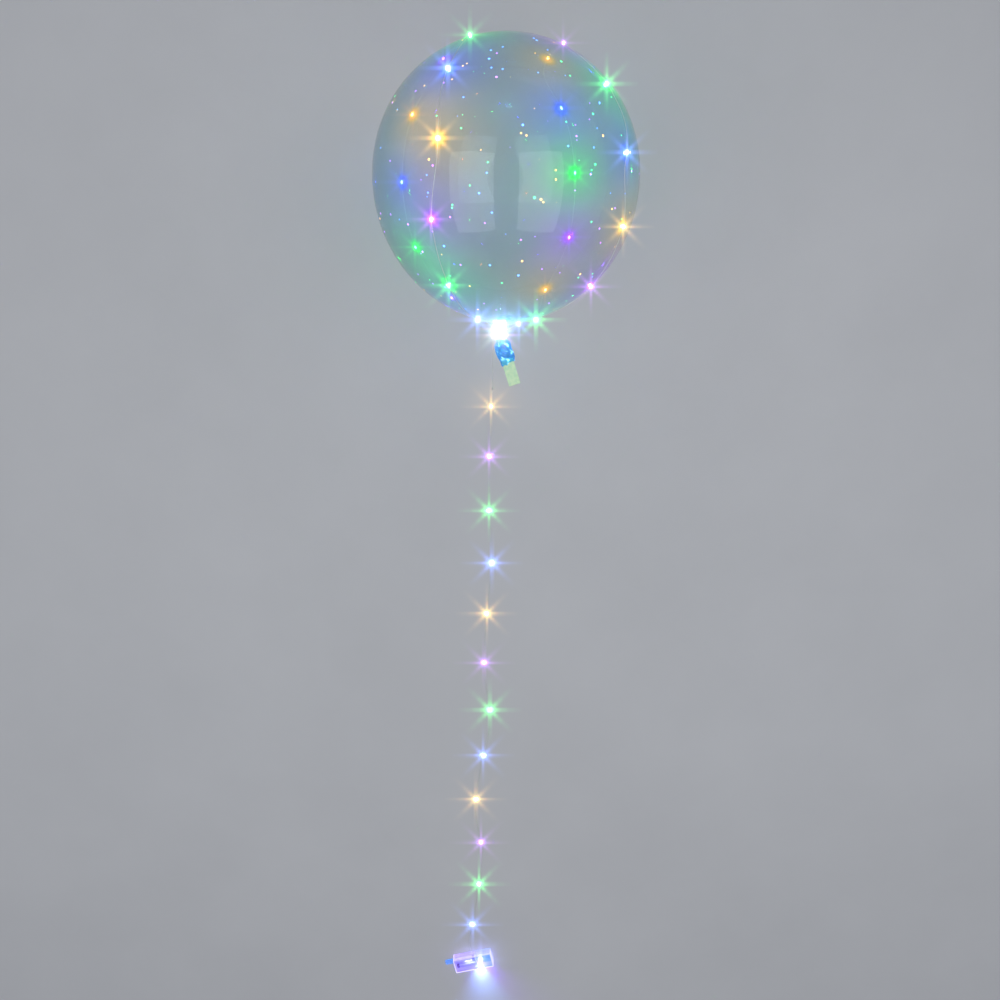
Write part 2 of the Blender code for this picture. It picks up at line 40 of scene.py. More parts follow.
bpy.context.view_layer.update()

# Viewpoint: high over the balloon and tipped towards the case, so that the wire runs away
# down the middle of the picture.
view_data = bpy.data.cameras.new("viewpoint")
view_data.sensor_width = 36.0
view_data.lens = 36.18
viewpoint = bpy.data.objects.new("viewpoint", view_data)
viewpoint.location = (-0.0086, 0.0, 1.696)
viewpoint.rotation_euler = (math.radians(-17.8), 0.0, 0.0)
scene.collection.objects.link(viewpoint)
scene.camera = viewpoint

# The wire's run. It is wound on the neck, goes over the film in two loops, is wound on the
# neck again, and lies along the floor to the case. The same places are in the solid model.
BALLOON_RADIUS = 0.190
NECK_DRAW = 0.0180
DRAW_POWER = 1.5
FLARE_RADIUS = 0.028
FLARE_ANGLE = math.pi - math.asin(FLARE_RADIUS / BALLOON_RADIUS)
FLAT_SPOT_RADIUS = 0.028
CENTRE_HEIGHT = math.sqrt(BALLOON_RADIUS ** 2 - FLAT_SPOT_RADIUS ** 2)
BALLOON_CENTRE = np.array((0.0, 0.0, CENTRE_HEIGHT))
BALLOON_PLACE = Matrix.Translation(BALLOON_CENTRE) @ Matrix.Rotation(math.radians(-2.3), 4, "Z")
CASE_PLACE = Matrix.Translation((-0.0636, -1.5420, 0.0)) @ Matrix.Rotation(math.radians(13.0), 4, "Z")
CASE_HALF_WIDTH = 0.0160
WIRE_RADIUS = 0.0004
GAP = 0.0003
BEAD_RADIUS = 0.0015
BEAD_RUN = 0.0030
FILM_LIFT = 0.0009
BEAD_LIFT = 0.0020
FLOOR_LIFT = 0.0016
NECK_START = 0.2070
TURN_RADIUS = 0.0102
TURN_PITCH = 0.0022
START_TURNS = 4.43
LINK_TURNS = 2.55
TURNS_APART = 1.2
LINK_START = 0.0025
NECK_SPARE = 0.0008
LINK_STATION = NECK_START + LINK_START
START_STATION = LINK_STATION + (LINK_TURNS + TURNS_APART + START_TURNS) * TURN_PITCH
NECK_END = START_STATION + BEAD_RADIUS + NECK_SPARE
OVER_RADIUS = math.sqrt(TURN_RADIUS ** 2 - BEAD_RUN ** 2) + BEAD_RADIUS + WIRE_RADIUS + 2 * GAP
RIGHT_LOOP = [
    (126, 160), (142, 147), (143, 117), (145, 89), (148, 63), (155, 39), (112, 22),
    (60, 28), (61, 47), (62, 67), (55, 86), (62, 109), (68, 137), (72, 158),
]
LEFT_LOOP = [
    (235, 160), (234, 151), (236, 123), (236, 95), (236, 67), (238, 41), (294, 19),
    (321, 35), (327, 57), (332, 81), (329, 107), (328, 135), (323, 158),
]
OVER_TURNS = [(0, 0.0, 1.20), (22, 0.24, 1.0), (51, 0.50, 1.0), (77, 0.80, 1.0), (91, 1.15, 1.10)]
TAIL_ROUTE = [
    (-0.0195, -0.2460, 0.1560), (-0.0200, -0.2720, 0.1180), (-0.0208, -0.3050, 0.0790),
    (-0.0222, -0.3450, 0.0430), (-0.0241, -0.3860, 0.0185), (-0.0258, -0.4200, 0.0065),
    (-0.0270, -0.4450, 0.0024), (-0.0276, -0.4700, FLOOR_LIFT), (-0.0280, -0.5000, FLOOR_LIFT),
    (-0.0281, -0.5670, FLOOR_LIFT), (-0.0235, -0.6640, FLOOR_LIFT), (-0.0340, -0.7730, FLOOR_LIFT),
    (-0.0380, -0.8830, FLOOR_LIFT), (-0.0270, -0.9830, FLOOR_LIFT), (-0.0450, -1.0840, FLOOR_LIFT),
    (-0.0568, -1.1870, FLOOR_LIFT), (-0.0440, -1.2850, FLOOR_LIFT), (-0.0553, -1.3910, FLOOR_LIFT),
    (-0.0682, -1.4780, FLOOR_LIFT),
]
RUN_STEP = 0.0015
ENTRY_HEIGHT = 0.0045
CASE_ROUTE = [
    (0.0, CASE_HALF_WIDTH + 0.0210, FLOOR_LIFT + GAP),
    (0.0, CASE_HALF_WIDTH + 0.0090, 0.5 * (ENTRY_HEIGHT + FLOOR_LIFT)),
    (0.0, CASE_HALF_WIDTH + 0.0020, ENTRY_HEIGHT),
    (0.0, CASE_HALF_WIDTH - 0.0028, ENTRY_HEIGHT),
]


def film_reach(top_angle):
    """From the balloon's centre to the film: round at first, and drawn out towards the neck."""
    past_middle = np.clip(top_angle / (0.5 * math.pi) - 1.0, 0.0, None)
    return BALLOON_RADIUS + NECK_DRAW * past_middle ** DRAW_POWER


def film_place(round_degrees, top_degrees):
    round_angle = math.radians(round_degrees)
    top_angle = math.radians(top_degrees)
    across = math.sin(top_angle)
    way = Vector((across * math.sin(round_angle), math.cos(top_angle), across * math.cos(round_angle)))
    return way * float(film_reach(top_angle) + FILM_LIFT)


def neck_place(round_degrees, station, radius):
    angle = math.radians(round_degrees)
    return Vector((radius * math.sin(angle), -station, radius * math.cos(angle)))


def wound_turns(first_degrees, turns, station, step):
    """Eight places a turn, going backwards round the neck."""
    count = round(8 * turns)
    places = []
    for i in range(count + 1):
        share = turns * i / count
        places.append(neck_place(first_degrees - 360 * share, station + step * share, TURN_RADIUS))
    return places


def smooth_run(places):
    """Close points on a centripetal Catmull-Rom curve through the places."""
    knots = [np.array(place, dtype=float) for place in places]
    knots.insert(0, 2 * knots[0] - knots[1])
    knots.append(2 * knots[-1] - knots[-2])
    line = []
    for a, b, c, d in zip(knots, knots[1:], knots[2:], knots[3:]):
        t1 = math.sqrt(np.linalg.norm(b - a))
        t2 = t1 + math.sqrt(np.linalg.norm(c - b))
        t3 = t2 + math.sqrt(np.linalg.norm(d - c))
        count = max(6, round(np.linalg.norm(c - b) / RUN_STEP))
        for t in np.linspace(t1, t2, count, endpoint=False):
            ab = a + (b - a) * t / t1
            bc = b + (c - b) * (t - t1) / (t2 - t1)
            cd = c + (d - c) * (t - t2) / (t3 - t2)
            abc = ab + (bc - ab) * t / t2
            bcd = bc + (cd - bc) * (t - t1) / (t3 - t1)
            line.append(abc + (bcd - abc) * (t - t1) / (t2 - t1))
    line.append(knots[-2])
    return np.array(line)


start_degrees = RIGHT_LOOP[0][0] + 360 * START_TURNS
neck_start_turns = wound_turns(start_degrees, START_TURNS, START_STATION, -TURN_PITCH)
neck_link_turns = wound_turns(RIGHT_LOOP[-1][0], LINK_TURNS, LINK_STATION, TURN_PITCH)
neck_over_turns = []
for past, share, out in OVER_TURNS:
    station = LINK_STATION + share * (NECK_END - LINK_STATION)
    neck_over_turns.append(neck_place(LEFT_LOOP[-1][0] - past, station, out * OVER_RADIUS))
balloon_places = neck_start_turns + [film_place(*spot) for spot in RIGHT_LOOP] + neck_link_turns
balloon_places += [film_place(*spot) for spot in LEFT_LOOP] + neck_over_turns
balloon_places = [BALLOON_PLACE @ place for place in balloon_places]
case_places = [CASE_PLACE @ Vector(place) for place in CASE_ROUTE]
run_line = smooth_run(balloon_places + [Vector(place) for place in TAIL_ROUTE] + case_places)
split_index = int(np.argmin(np.linalg.norm(run_line - np.array(balloon_places[-1]), axis=1)))
neck_way = np.array(BALLOON_PLACE.to_3x3() @ Vector((0, -1, 0)))


def over_balloon(places):
    """How far places are from the balloon's centre, and how far the film is, the same way out."""
    away = places - BALLOON_CENTRE
    reach = np.linalg.norm(away, axis=1)
    top_angle = math.pi - np.arccos(np.clip(away @ neck_way / reach, -1.0, 1.0))
    return away, reach, top_angle


run_away, run_reach, run_angle = over_balloon(run_line)
over_film = film_reach(run_angle) + FILM_LIFT
pressed = (run_angle < math.radians(RIGHT_LOOP[0][1])) | ((run_angle < FLARE_ANGLE) & (run_reach < over_film))
pressed &= np.arange(len(run_line)) < split_index
run_line[pressed] = BALLOON_CENTRE + (run_away / run_reach[:, None] * over_film[:, None])[pressed]
run_lengths = np.concatenate([[0.0], np.cumsum(np.linalg.norm(np.diff(run_line, axis=0), axis=1))])
split_length = float(run_lengths[split_index])
run_end = float(run_lengths[-1])

# Where the lamps and the two grey sleeves sit on the wire: a lamp every 100 mm on the balloon,
# and again from the first one below the neck.
LAMP_PITCH = 0.100
FIRST_LAMP = 0.0060
SPLIT_TO_LAMP = 0.2070
LOOP_LAMPS = 28
TAIL_LAMPS = 12
SLEEVE_TO_LAMP = 0.0430
LAMP_TO_SLEEVE = 0.0200
first_tail_lamp = split_length + SPLIT_TO_LAMP
lamp_stops = [FIRST_LAMP + LAMP_PITCH * i for i in range(LOOP_LAMPS)]
lamp_stops += [first_tail_lamp + LAMP_PITCH * i for i in range(TAIL_LAMPS)]
sleeve_stops = [first_tail_lamp - SLEEVE_TO_LAMP, lamp_stops[-1] + LAMP_TO_SLEEVE]
all_stops = np.array(sorted(lamp_stops + sleeve_stops))

# Between its stops the wire settles on the film, or on the floor. On the floor it does so only
# where it already lies low, and it stays up where it rises into the case.
SETTLE_RUN = 0.0170
NEAR_FILM = 0.0002
LOW_HEIGHT = 0.020
LOW_EASE = 0.018
CASE_RUN = 0.020
CASE_EASE = 0.015
WIRE_OFF_FLOOR = 0.0001


def run_places(lengths):
    """Places on the smooth run at these lengths, the wire dropped to the film or floor between lamps."""
    lengths = np.atleast_1d(np.asarray(lengths, dtype=float))
    places = np.stack([np.interp(lengths, run_lengths, run_line[:, axis]) for axis in range(3)], axis=1)
    from_stop = np.min(np.abs(lengths[:, None] - all_stops[None, :]), axis=1)
    rest = np.clip((from_stop - BEAD_RUN) / SETTLE_RUN, 0.0, 1.0)
    rest = rest * rest * (3.0 - 2.0 * rest)
    away, reach, top_angle = over_balloon(places)
    on_film = (lengths < split_length) & (np.abs(reach - film_reach(top_angle) - FILM_LIFT) < NEAR_FILM)
    lift = np.where(on_film, (BEAD_LIFT - FILM_LIFT) * (1.0 - rest), 0.0)
    places = places + away / reach[:, None] * lift[:, None]
    low = np.clip((LOW_HEIGHT - places[:, 2]) / LOW_EASE, 0.0, 1.0)
    low *= np.clip((run_end - lengths - CASE_RUN) / CASE_EASE, 0.0, 1.0)
    on_floor = lengths > split_length
    drop_by = low * rest * (FLOOR_LIFT - WIRE_RADIUS - WIRE_OFF_FLOOR)
    places[:, 2] -= np.where(on_floor, drop_by, 0.0)
    return places


def stop_ends(stop):
    ends = run_places([stop - BEAD_RUN, stop + BEAD_RUN])
    return Vector(ends[0]), Vector(ends[1])


def wire_places(first, last, step):
    """The wire's middle line, straight where it runs through a lamp or a sleeve."""
    lengths = np.linspace(first, last, max(2, round((last - first) / step)))
    places = run_places(lengths)
    for stop in all_stops:
        inside = np.abs(lengths - stop) < BEAD_RUN
        if inside.any():
            near, far = (np.array(end) for end in stop_ends(stop))
            share = (lengths[inside] - stop + BEAD_RUN) / (2 * BEAD_RUN)
            places[inside] = near + (far - near) * share[:, None]
    return lengths, places


# The two strands are enamelled copper, twisted on each other with a 7 mm lay. The enamel makes
# them a pale greenish silver, a little darker in the twist.
STRAND_RADIUS = 0.00019
STRANDS_APART = 1.05
STRAND_LAY = 0.0070
STRAND_SIDES = 6
WIRE_STEP = 0.0009
HALF_SPLIT = 0.00015


def new_material(name, colour, roughness, metallic=0.0):
    """A material with its Principled shader, node tree and plain first values."""
    material = bpy.data.materials.new(name)
    material.use_nodes = True
    material.diffuse_color = (*colour, 1.0)
    tree = material.node_tree
    shader = tree.nodes["Principled BSDF"]
    shader.inputs["Base Color"].default_value = (*colour, 1.0)
    shader.inputs["Roughness"].default_value = roughness
    shader.inputs["Metallic"].default_value = metallic
    return material, tree, shader


def set_values(node, values):
    """Plain values on a node's own input sockets."""
    for socket, value in values.items():
        node.inputs[socket].default_value = value


def add_node(tree, kind, values=None, **settings):
    """A new shader node, with its settings and then its plain values."""
    node = tree.nodes.new(f"ShaderNode{kind}")
    for setting, value in settings.items():
        setattr(node, setting, value)
    set_values(node, values or {})
    return node


def add_ramp(tree, stops, interpolation="LINEAR"):
    """A colour ramp through (position, colour) stops, given from low to high."""
    ramp = add_node(tree, "ValToRGB")
    ramp.color_ramp.interpolation = interpolation
    elements = ramp.color_ramp.elements
    for element, (position, colour) in zip(elements, (stops[0], stops[-1])):
        element.position = position
        element.color = (*colour, 1.0)
    for position, colour in stops[1:-1]:
        elements.new(position).color = (*colour, 1.0)
    return ramp


def mottle_group():
    """Uneven tone, roughness and relief of a made surface, for each material to weigh."""
    group = bpy.data.node_groups.new("uneven surface", "ShaderNodeTree")
    for name, way, kind in (
        ("Scale", "INPUT", "Float"), ("Light", "INPUT", "Color"), ("Dark", "INPUT", "Color"),
        ("Smooth", "INPUT", "Float"), ("Rough", "INPUT", "Float"),
        ("Colour", "OUTPUT", "Color"), ("Roughness", "OUTPUT", "Float"), ("Height", "OUTPUT", "Float"),
    ):
        group.interface.new_socket(name, in_out=way, socket_type=f"NodeSocket{kind}")
    links = group.links
    given = group.nodes.new("NodeGroupInput")
    result = group.nodes.new("NodeGroupOutput")
    place = add_node(group, "TexCoord")
    broad = add_node(group, "TexNoise", {"Detail": 5.0, "Roughness": 0.6})
    fine = add_node(group, "TexNoise", {"Detail": 3.0})
    finer = add_node(group, "Math", {1: 6.0}, operation="MULTIPLY")
    links.new(given.outputs["Scale"], broad.inputs["Scale"])
    links.new(given.outputs["Scale"], finer.inputs[0])
    links.new(finer.outputs[0], fine.inputs["Scale"])
    links.new(place.outputs["Object"], broad.inputs["Vector"])
    links.new(place.outputs["Object"], fine.inputs["Vector"])
    spread = add_node(group, "MapRange", {"From Min": 0.32, "From Max": 0.68})
    links.new(broad.outputs["Fac"], spread.inputs["Value"])
    tone = add_node(group, "Mix", data_type="RGBA")
    links.new(spread.outputs["Result"], tone.inputs["Factor"])
    links.new(given.outputs["Dark"], tone.inputs["A"])
    links.new(given.outputs["Light"], tone.inputs["B"])
    gloss = add_node(group, "Mix")
    links.new(fine.outputs["Fac"], gloss.inputs["Factor"])
    links.new(given.outputs["Smooth"], gloss.inputs["A"])
    links.new(given.outputs["Rough"], gloss.inputs["B"])
    both = add_node(group, "Math", operation="ADD")
    links.new(broad.outputs["Fac"], both.inputs[0])
    links.new(fine.outputs["Fac"], both.inputs[1])
    links.new(tone.outputs["Result"], result.inputs["Colour"])
    links.new(gloss.outputs["Result"], result.inputs["Roughness"])
    links.new(both.outputs[0], result.inputs["Height"])
    return group


uneven_surface = mottle_group()


def add_unevenness(tree, shader, scale, light, dark, smooth, rough, relief):
    """Puts the shared uneven surface on a shader, with a Bump of the given depth in metres."""
    values = {"Scale": scale, "Light": (*light, 1.0), "Dark": (*dark, 1.0), "Smooth": smooth, "Rough": rough}
    uneven = add_node(tree, "Group", values, node_tree=uneven_surface)
    tree.links.new(uneven.outputs["Colour"], shader.inputs["Base Color"])
    tree.links.new(uneven.outputs["Roughness"], shader.inputs["Roughness"])
    if relief > 0:
        bump = add_node(tree, "Bump", {"Strength": 0.6, "Distance": relief})
        tree.links.new(uneven.outputs["Height"], bump.inputs["Height"])
        tree.links.new(bump.outputs["Normal"], shader.inputs["Normal"])
    return uneven


def add_piece(name, mesh, material, place=Matrix.Identity(4)):
    """A piece of the object, smooth shaded, that rides on the one body."""
    if not mesh.materials:
        mesh.materials.append(material)
    mesh.shade_smooth()
    piece = bpy.data.objects.new(name, mesh)
    piece.matrix_world = place
    scene.collection.objects.link(piece)
    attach(piece, "root")
    return piece


def twisted_pair(name, lengths, places):
    """Two round strands wound on each other along the places, closed at their ends."""
    ways = np.gradient(places, axis=0)
    ways /= np.linalg.norm(ways, axis=1)[:, None]
    side = np.cross(ways[0], (0.0, 0.0, 1.0))
    if np.linalg.norm(side) < 0.1:
        side = np.cross(ways[0], (1.0, 0.0, 0.0))
    sides = []
    for way in ways:
        side = side - way * (side @ way)
        side = side / np.linalg.norm(side)
        sides.append(side)
    sides = np.array(sides)
    backs = np.cross(ways, sides)
    angles = math.tau * (lengths - lengths[0]) / STRAND_LAY
    verts = []
    faces = []
    for strand in range(2):
        turned = angles + math.pi * strand
        off = sides * np.cos(turned)[:, None] + backs * np.sin(turned)[:, None]
        middles = places + off * STRAND_RADIUS * STRANDS_APART
        base = len(verts)
        for middle, across, up in zip(middles, sides, backs):
            for k in range(STRAND_SIDES):
                angle = math.tau * k / STRAND_SIDES
                spoke = across * math.cos(angle) + up * math.sin(angle)
                verts.append(tuple(middle + spoke * STRAND_RADIUS))
        for i in range(len(middles) - 1):
            for k in range(STRAND_SIDES):
                low = base + i * STRAND_SIDES
                high = low + STRAND_SIDES
                following = (k + 1) % STRAND_SIDES
                faces.append((low + k, low + following, high + following, high + k))
        faces.append(tuple(reversed(range(base, base + STRAND_SIDES))))
        last = base + (len(middles) - 1) * STRAND_SIDES
        faces.append(tuple(range(last, last + STRAND_SIDES)))
    mesh = bpy.data.meshes.new(name)
    mesh.from_pydata(verts, [], faces)
    return mesh


copper, copper_tree, copper_shader = new_material("enamelled copper", (0.82, 0.85, 0.80), 0.30, 0.35)
add_unevenness(copper_tree, copper_shader, 260.0, (0.90, 0.93, 0.88), (0.72, 0.76, 0.72), 0.22, 0.42, 0.0)

loop_lengths, loop_line = wire_places(0.0, split_length - HALF_SPLIT, WIRE_STEP)
loop_pair = twisted_pair("balloon wire", loop_lengths, loop_line)
balloon_wire = add_piece("fine_wire_on_balloon", loop_pair, copper)
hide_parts("balloon_wire")

tail_lengths, tail_line = wire_places(split_length + HALF_SPLIT, run_end, WIRE_STEP)
tail_pair = twisted_pair("tail wire", tail_lengths, tail_line)
tail_wire = add_piece("fine_wire_to_case", tail_pair, copper)
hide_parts("tail_wire")

# Lamps. Each is a chip on the wire inside a drop of clear resin, drawn out along the wire by
# surface tension. The colours repeat: amber, purple, green, blue.
DROP_SIDES = 20
DROP_OUTLINE = [
    (0.00034, 0.00330), (0.00046, 0.00300), (0.00066, 0.00262), (0.00094, 0.00215), (0.00121, 0.00160),
    (0.00140, 0.00100), (0.00149, 0.00035), (0.00149, -0.00035), (0.00141, -0.00095), (0.00122, -0.00155),
    (0.00095, -0.00210), (0.00066, -0.00258), (0.00045, -0.00298), (0.00034, -0.00330),
]
CHIP_REACH = 0.0004
TIP_REACH = 0.0028
LAMP_KINDS = [
    ("amber", (1.0, 0.56, 0.05), 66.0),
    ("purple", (0.50, 0.08, 1.0), 52.0),
    ("green", (0.01, 1.0, 0.13), 85.0),
    ("blue", (0.05, 0.18, 1.0), 105.0),
]


def turned_mesh(name, outline, sides, closed_ends=True):
    """A turned shape about Z from (radius, height) pairs, top to bottom."""
    verts = []
    faces = []
    for radius, height in outline:
        for k in range(sides):
            angle = math.tau * k / sides
            verts.append((radius * math.cos(angle), radius * math.sin(angle), height))
    for i in range(len(outline) - 1):
        for k in range(sides):
            following = (k + 1) % sides
            low = i * sides
            faces.append((low + k, low + sides + k, low + sides + following, low + following))
    if closed_ends:
        faces.append(tuple(range(sides)))
        last = (len(outline) - 1) * sides
        faces.append(tuple(reversed(range(last, last + sides))))
    mesh = bpy.data.meshes.new(name)
    mesh.from_pydata(verts, [], faces)
    return mesh


def placed_along(near, far):
    """A place midway between two points, its Z axis from one to the other."""
    turn_to = (far - near).to_track_quat("Z", "Y").to_matrix().to_4x4()
    return Matrix.Translation(0.5 * (near + far)) @ turn_to


def lit_resin(kind, colour, strength):
    """Lit resin, white-hot round the chip and coloured towards the drop's ends."""
    material, tree, shader = new_material(f"{kind} lit resin", colour, 0.12)
    shader.inputs["Coat Weight"].default_value = 0.5
    links = tree.links
    place = add_node(tree, "TexCoord")
    split = add_node(tree, "SeparateXYZ")
    links.new(place.outputs["Object"], split.inputs["Vector"])
    from_chip = add_node(tree, "Math", operation="ABSOLUTE")
    links.new(split.outputs["Z"], from_chip.inputs[0])
    reaches = {"From Min": CHIP_REACH, "From Max": TIP_REACH}
    toward_end = add_node(tree, "MapRange", reaches, interpolation_type="SMOOTHSTEP")
    links.new(from_chip.outputs[0], toward_end.inputs["Value"])
    hot = [0.14 + 0.86 * value for value in colour]
    deep = [0.35 * value for value in colour]
    tint = add_node(tree, "Mix", {"A": (*hot, 1.0), "B": (*deep, 1.0)}, data_type="RGBA")
    links.new(toward_end.outputs["Result"], tint.inputs["Factor"])
    links.new(tint.outputs["Result"], shader.inputs["Emission Color"])
    shader.inputs["Emission Strength"].default_value = strength
    return material


lamp_glow = []
for index, stop in enumerate(lamp_stops):
    near, far = stop_ends(stop)
    kind, colour, strength = LAMP_KINDS[index % len(LAMP_KINDS)]
    drop = turned_mesh(f"{kind} drop {index + 1:02d}", DROP_OUTLINE, DROP_SIDES)
    material = bpy.data.materials.get(f"{kind} lit resin") or lit_resin(kind, colour, strength)
    lamp = add_piece(f"resin_lamp_{index + 1:02d}", drop, material, placed_along(near, far))
    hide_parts(f"lamp_{index + 1:02d}")
    lamp_glow.append((0.5 * (near + far), colour))

# Sleeves. Two short lengths of grey heat-shrink tube cover the joints in the wire, one below
# the neck and one before the case. They draw in over the strands at both ends.
SLEEVE_OUTLINE = [
    (0.00050, 0.00300), (0.00074, 0.00299), (0.00092, 0.00290), (0.00104, 0.00260), (0.00118, 0.00200),
    (0.00127, 0.00110), (0.00125, 0.00020), (0.00128, -0.00080), (0.00122, -0.00180), (0.00106, -0.00250),
    (0.00092, -0.00286), (0.00072, -0.00298), (0.00050, -0.00300),
]
shrink, shrink_tree, shrink_shader = new_material("grey heat-shrink", (0.58, 0.59, 0.61), 0.42)
add_unevenness(shrink_tree, shrink_shader, 700.0, (0.66, 0.67, 0.69), (0.48, 0.49, 0.52), 0.34, 0.55, 0.0001)
for sleeve_name, stop in zip(("neck_end_sleeve", "case_end_sleeve"), sleeve_stops):
    near, far = stop_ends(stop)
    tube = turned_mesh(sleeve_name, SLEEVE_OUTLINE, DROP_SIDES)
    sleeve = add_piece(f"shrunk_{sleeve_name}", tube, shrink, placed_along(near, far))
    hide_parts(sleeve_name)

tail_pieces = [f"resin_lamp_{i + 1:02d}" for i in range(LOOP_LAMPS, LOOP_LAMPS + TAIL_LAMPS)]
tail_pieces += ["shrunk_neck_end_sleeve", "shrunk_case_end_sleeve"]

# Balloon. One bag of clear film, nearly round and drawn out a little towards the neck, rests on
# a small flat spot. The film gathers into pleats at the neck, passes under the wound wire, and
# ends in a flat, crumpled skirt with a ragged, slanted end.
ROUND_STEPS = 224
SPHERE_STEPS = 112
FLARE_STEPS = 16
NECK_STEPS = 10
FLARE_PULL = 0.5
NECK_RADIUS = 0.0076
GATHER_ANGLE = 138.0
GATHER_RUN = 30.0
PLEAT_DEPTH = 0.0011
FLARE_PLEATS = 0.0004
FLOOR_BOW = 0.0006
FILM_OFF_FLOOR = 0.00005
FILM_THICKNESS = 0.00018
SKIRT_LEAN = math.radians(19.5)
SKIRT_LENGTH = 0.0410
SKIRT_WIDTH = 0.0260
SKIRT_THICKNESS = 0.0026
SKIRT_OVERLAP = 0.0040
SKIRT_INSET = 0.0008
SKIRT_RINGS = 40
SKIRT_PLEATS = 0.0010
SKIRT_CRUMPLE = 0.0021
SKIRT_SWAY = 0.0014
SKIRT_RAGGED = 0.0030
SKIRT_TRIM = 0.0010
SKIRT_SLANT = 0.18
SQUARENESS = 0.85


def pleat(angle, depth):
    """How far the gathered film folds in at this angle round the axis."""
    waves = 0.5 * math.cos(19 * angle + 0.7 * math.sin(3 * angle)) + 0.3 * math.cos(31 * angle + 1.9)
    waves += 0.2 * math.cos(47 * angle + 4.1 * math.sin(2 * angle))
    return depth * (0.5 - 0.5 * waves)


def ease(value):
    value = min(1.0, max(0.0, value))
    return value * value * (3.0 - 2.0 * value)


film_rings = []
for i in range(SPHERE_STEPS + 1):
    angle = FLARE_ANGLE * (i + 0.04) / (SPHERE_STEPS + 0.04)
    gather = ease((math.degrees(angle) - GATHER_ANGLE) / GATHER_RUN)
    reach = float(film_reach(angle))
    film_rings.append((reach * math.sin(angle), reach * math.cos(angle), PLEAT_DEPTH * gather))
flare_start = Vector(film_rings[-1][:2])
flare_end = Vector((NECK_RADIUS, -NECK_START))
flare_reach = (flare_end - flare_start).length
flare_leave = (flare_start - Vector(film_rings[-2][:2])).normalized() * flare_reach
flare_arrive = Vector((0.0, -1.0)) * flare_reach * FLARE_PULL
for i in range(1, FLARE_STEPS + 1):
    t = i / FLARE_STEPS
    spot = flare_start * (2 * t ** 3 - 3 * t ** 2 + 1) + flare_leave * (t ** 3 - 2 * t ** 2 + t)
    spot += flare_end * (3 * t ** 2 - 2 * t ** 3) + flare_arrive * (t ** 3 - t ** 2)
    film_rings.append((spot.x, spot.y, PLEAT_DEPTH + FLARE_PLEATS * math.sin(math.pi * t)))
for i in range(1, NECK_STEPS + 1):
    film_rings.append((NECK_RADIUS, -NECK_START - (NECK_END - NECK_START) * i / NECK_STEPS, PLEAT_DEPTH))

film_verts = []
for radius, height, depth in film_rings:
    for k in range(ROUND_STEPS):
        angle = math.tau * k / ROUND_STEPS
        far = radius - pleat(angle, depth)
        place = BALLOON_PLACE @ Vector((far * math.sin(angle), height, far * math.cos(angle)))
        bowed = math.sqrt(place.z * place.z + FLOOR_BOW * FLOOR_BOW)
        place.z = max(place.z, 0.5 * (place.z + bowed) + FILM_OFF_FLOOR)
        film_verts.append(place)

skirt_place = BALLOON_PLACE @ Matrix.Translation((0, -(NECK_END - SKIRT_OVERLAP), 0))
skirt_place = skirt_place @ Matrix.Rotation(SKIRT_LEAN, 4, "Z")
skirt_first = SKIRT_OVERLAP + SKIRT_INSET
for i in range(SKIRT_RINGS + 1):
    t = i / SKIRT_RINGS
    down = skirt_first + (SKIRT_OVERLAP + SKIRT_LENGTH - skirt_first) * t
    open_out = ease(t / 0.24)
    half_width = NECK_RADIUS * 0.94 + (0.49 * SKIRT_WIDTH - NECK_RADIUS * 0.94) * open_out
    half_width *= 1.0 - 0.14 * ease((t - 0.62) / 0.38)
    half_depth = NECK_RADIUS * 0.90 + (0.42 * SKIRT_THICKNESS - NECK_RADIUS * 0.90) * ease(t / 0.34)
    crumple = SKIRT_CRUMPLE * ease(t / 0.20) * ease((1.0 - t) / 0.30)
    for k in range(ROUND_STEPS):
        angle = math.tau * k / ROUND_STEPS
        fold = pleat(angle, SKIRT_PLEATS * (1.0 - ease(t / 0.5)))
        across = (half_width - fold) * math.copysign(abs(math.sin(angle)) ** SQUARENESS, math.sin(angle))
        up = (half_depth - 0.6 * fold) * math.copysign(abs(math.cos(angle)) ** SQUARENESS, math.cos(angle))
        spot = Vector((across * 150.0, down * 95.0, 0.3))
        ridge = 0.5 * math.sin(across * 1150.0 + 9.0 * math.sin(down * 110.0)) + noise.noise(spot)
        ridge += 0.7 * noise.noise(spot * 2.3)
        across += SKIRT_SWAY * noise.noise(Vector((down * 120.0, 4.7, 0.0))) * ease(t / 0.2)
        ragged = SKIRT_RAGGED * noise.noise(Vector((across * 210.0, 8.1, 0.0))) - SKIRT_TRIM
        ragged -= SKIRT_SLANT * across
        end_at = down + ragged * ease((t - 0.7) / 0.3)
        film_verts.append(skirt_place @ Vector((across, -end_at, up + crumple * ridge)))

film_ring_count = len(film_verts) // ROUND_STEPS
film_faces = []
for i in range(film_ring_count - 1):
    for k in range(ROUND_STEPS):
        following = (k + 1) % ROUND_STEPS
        low = i * ROUND_STEPS
        film_faces.append((low + k, low + ROUND_STEPS + k, low + ROUND_STEPS + following, low + following))
film_faces.append(tuple(range(ROUND_STEPS)))
film_mesh = bpy.data.meshes.new("clear film")
film_mesh.from_pydata([tuple(place) for place in film_verts], [], film_faces)

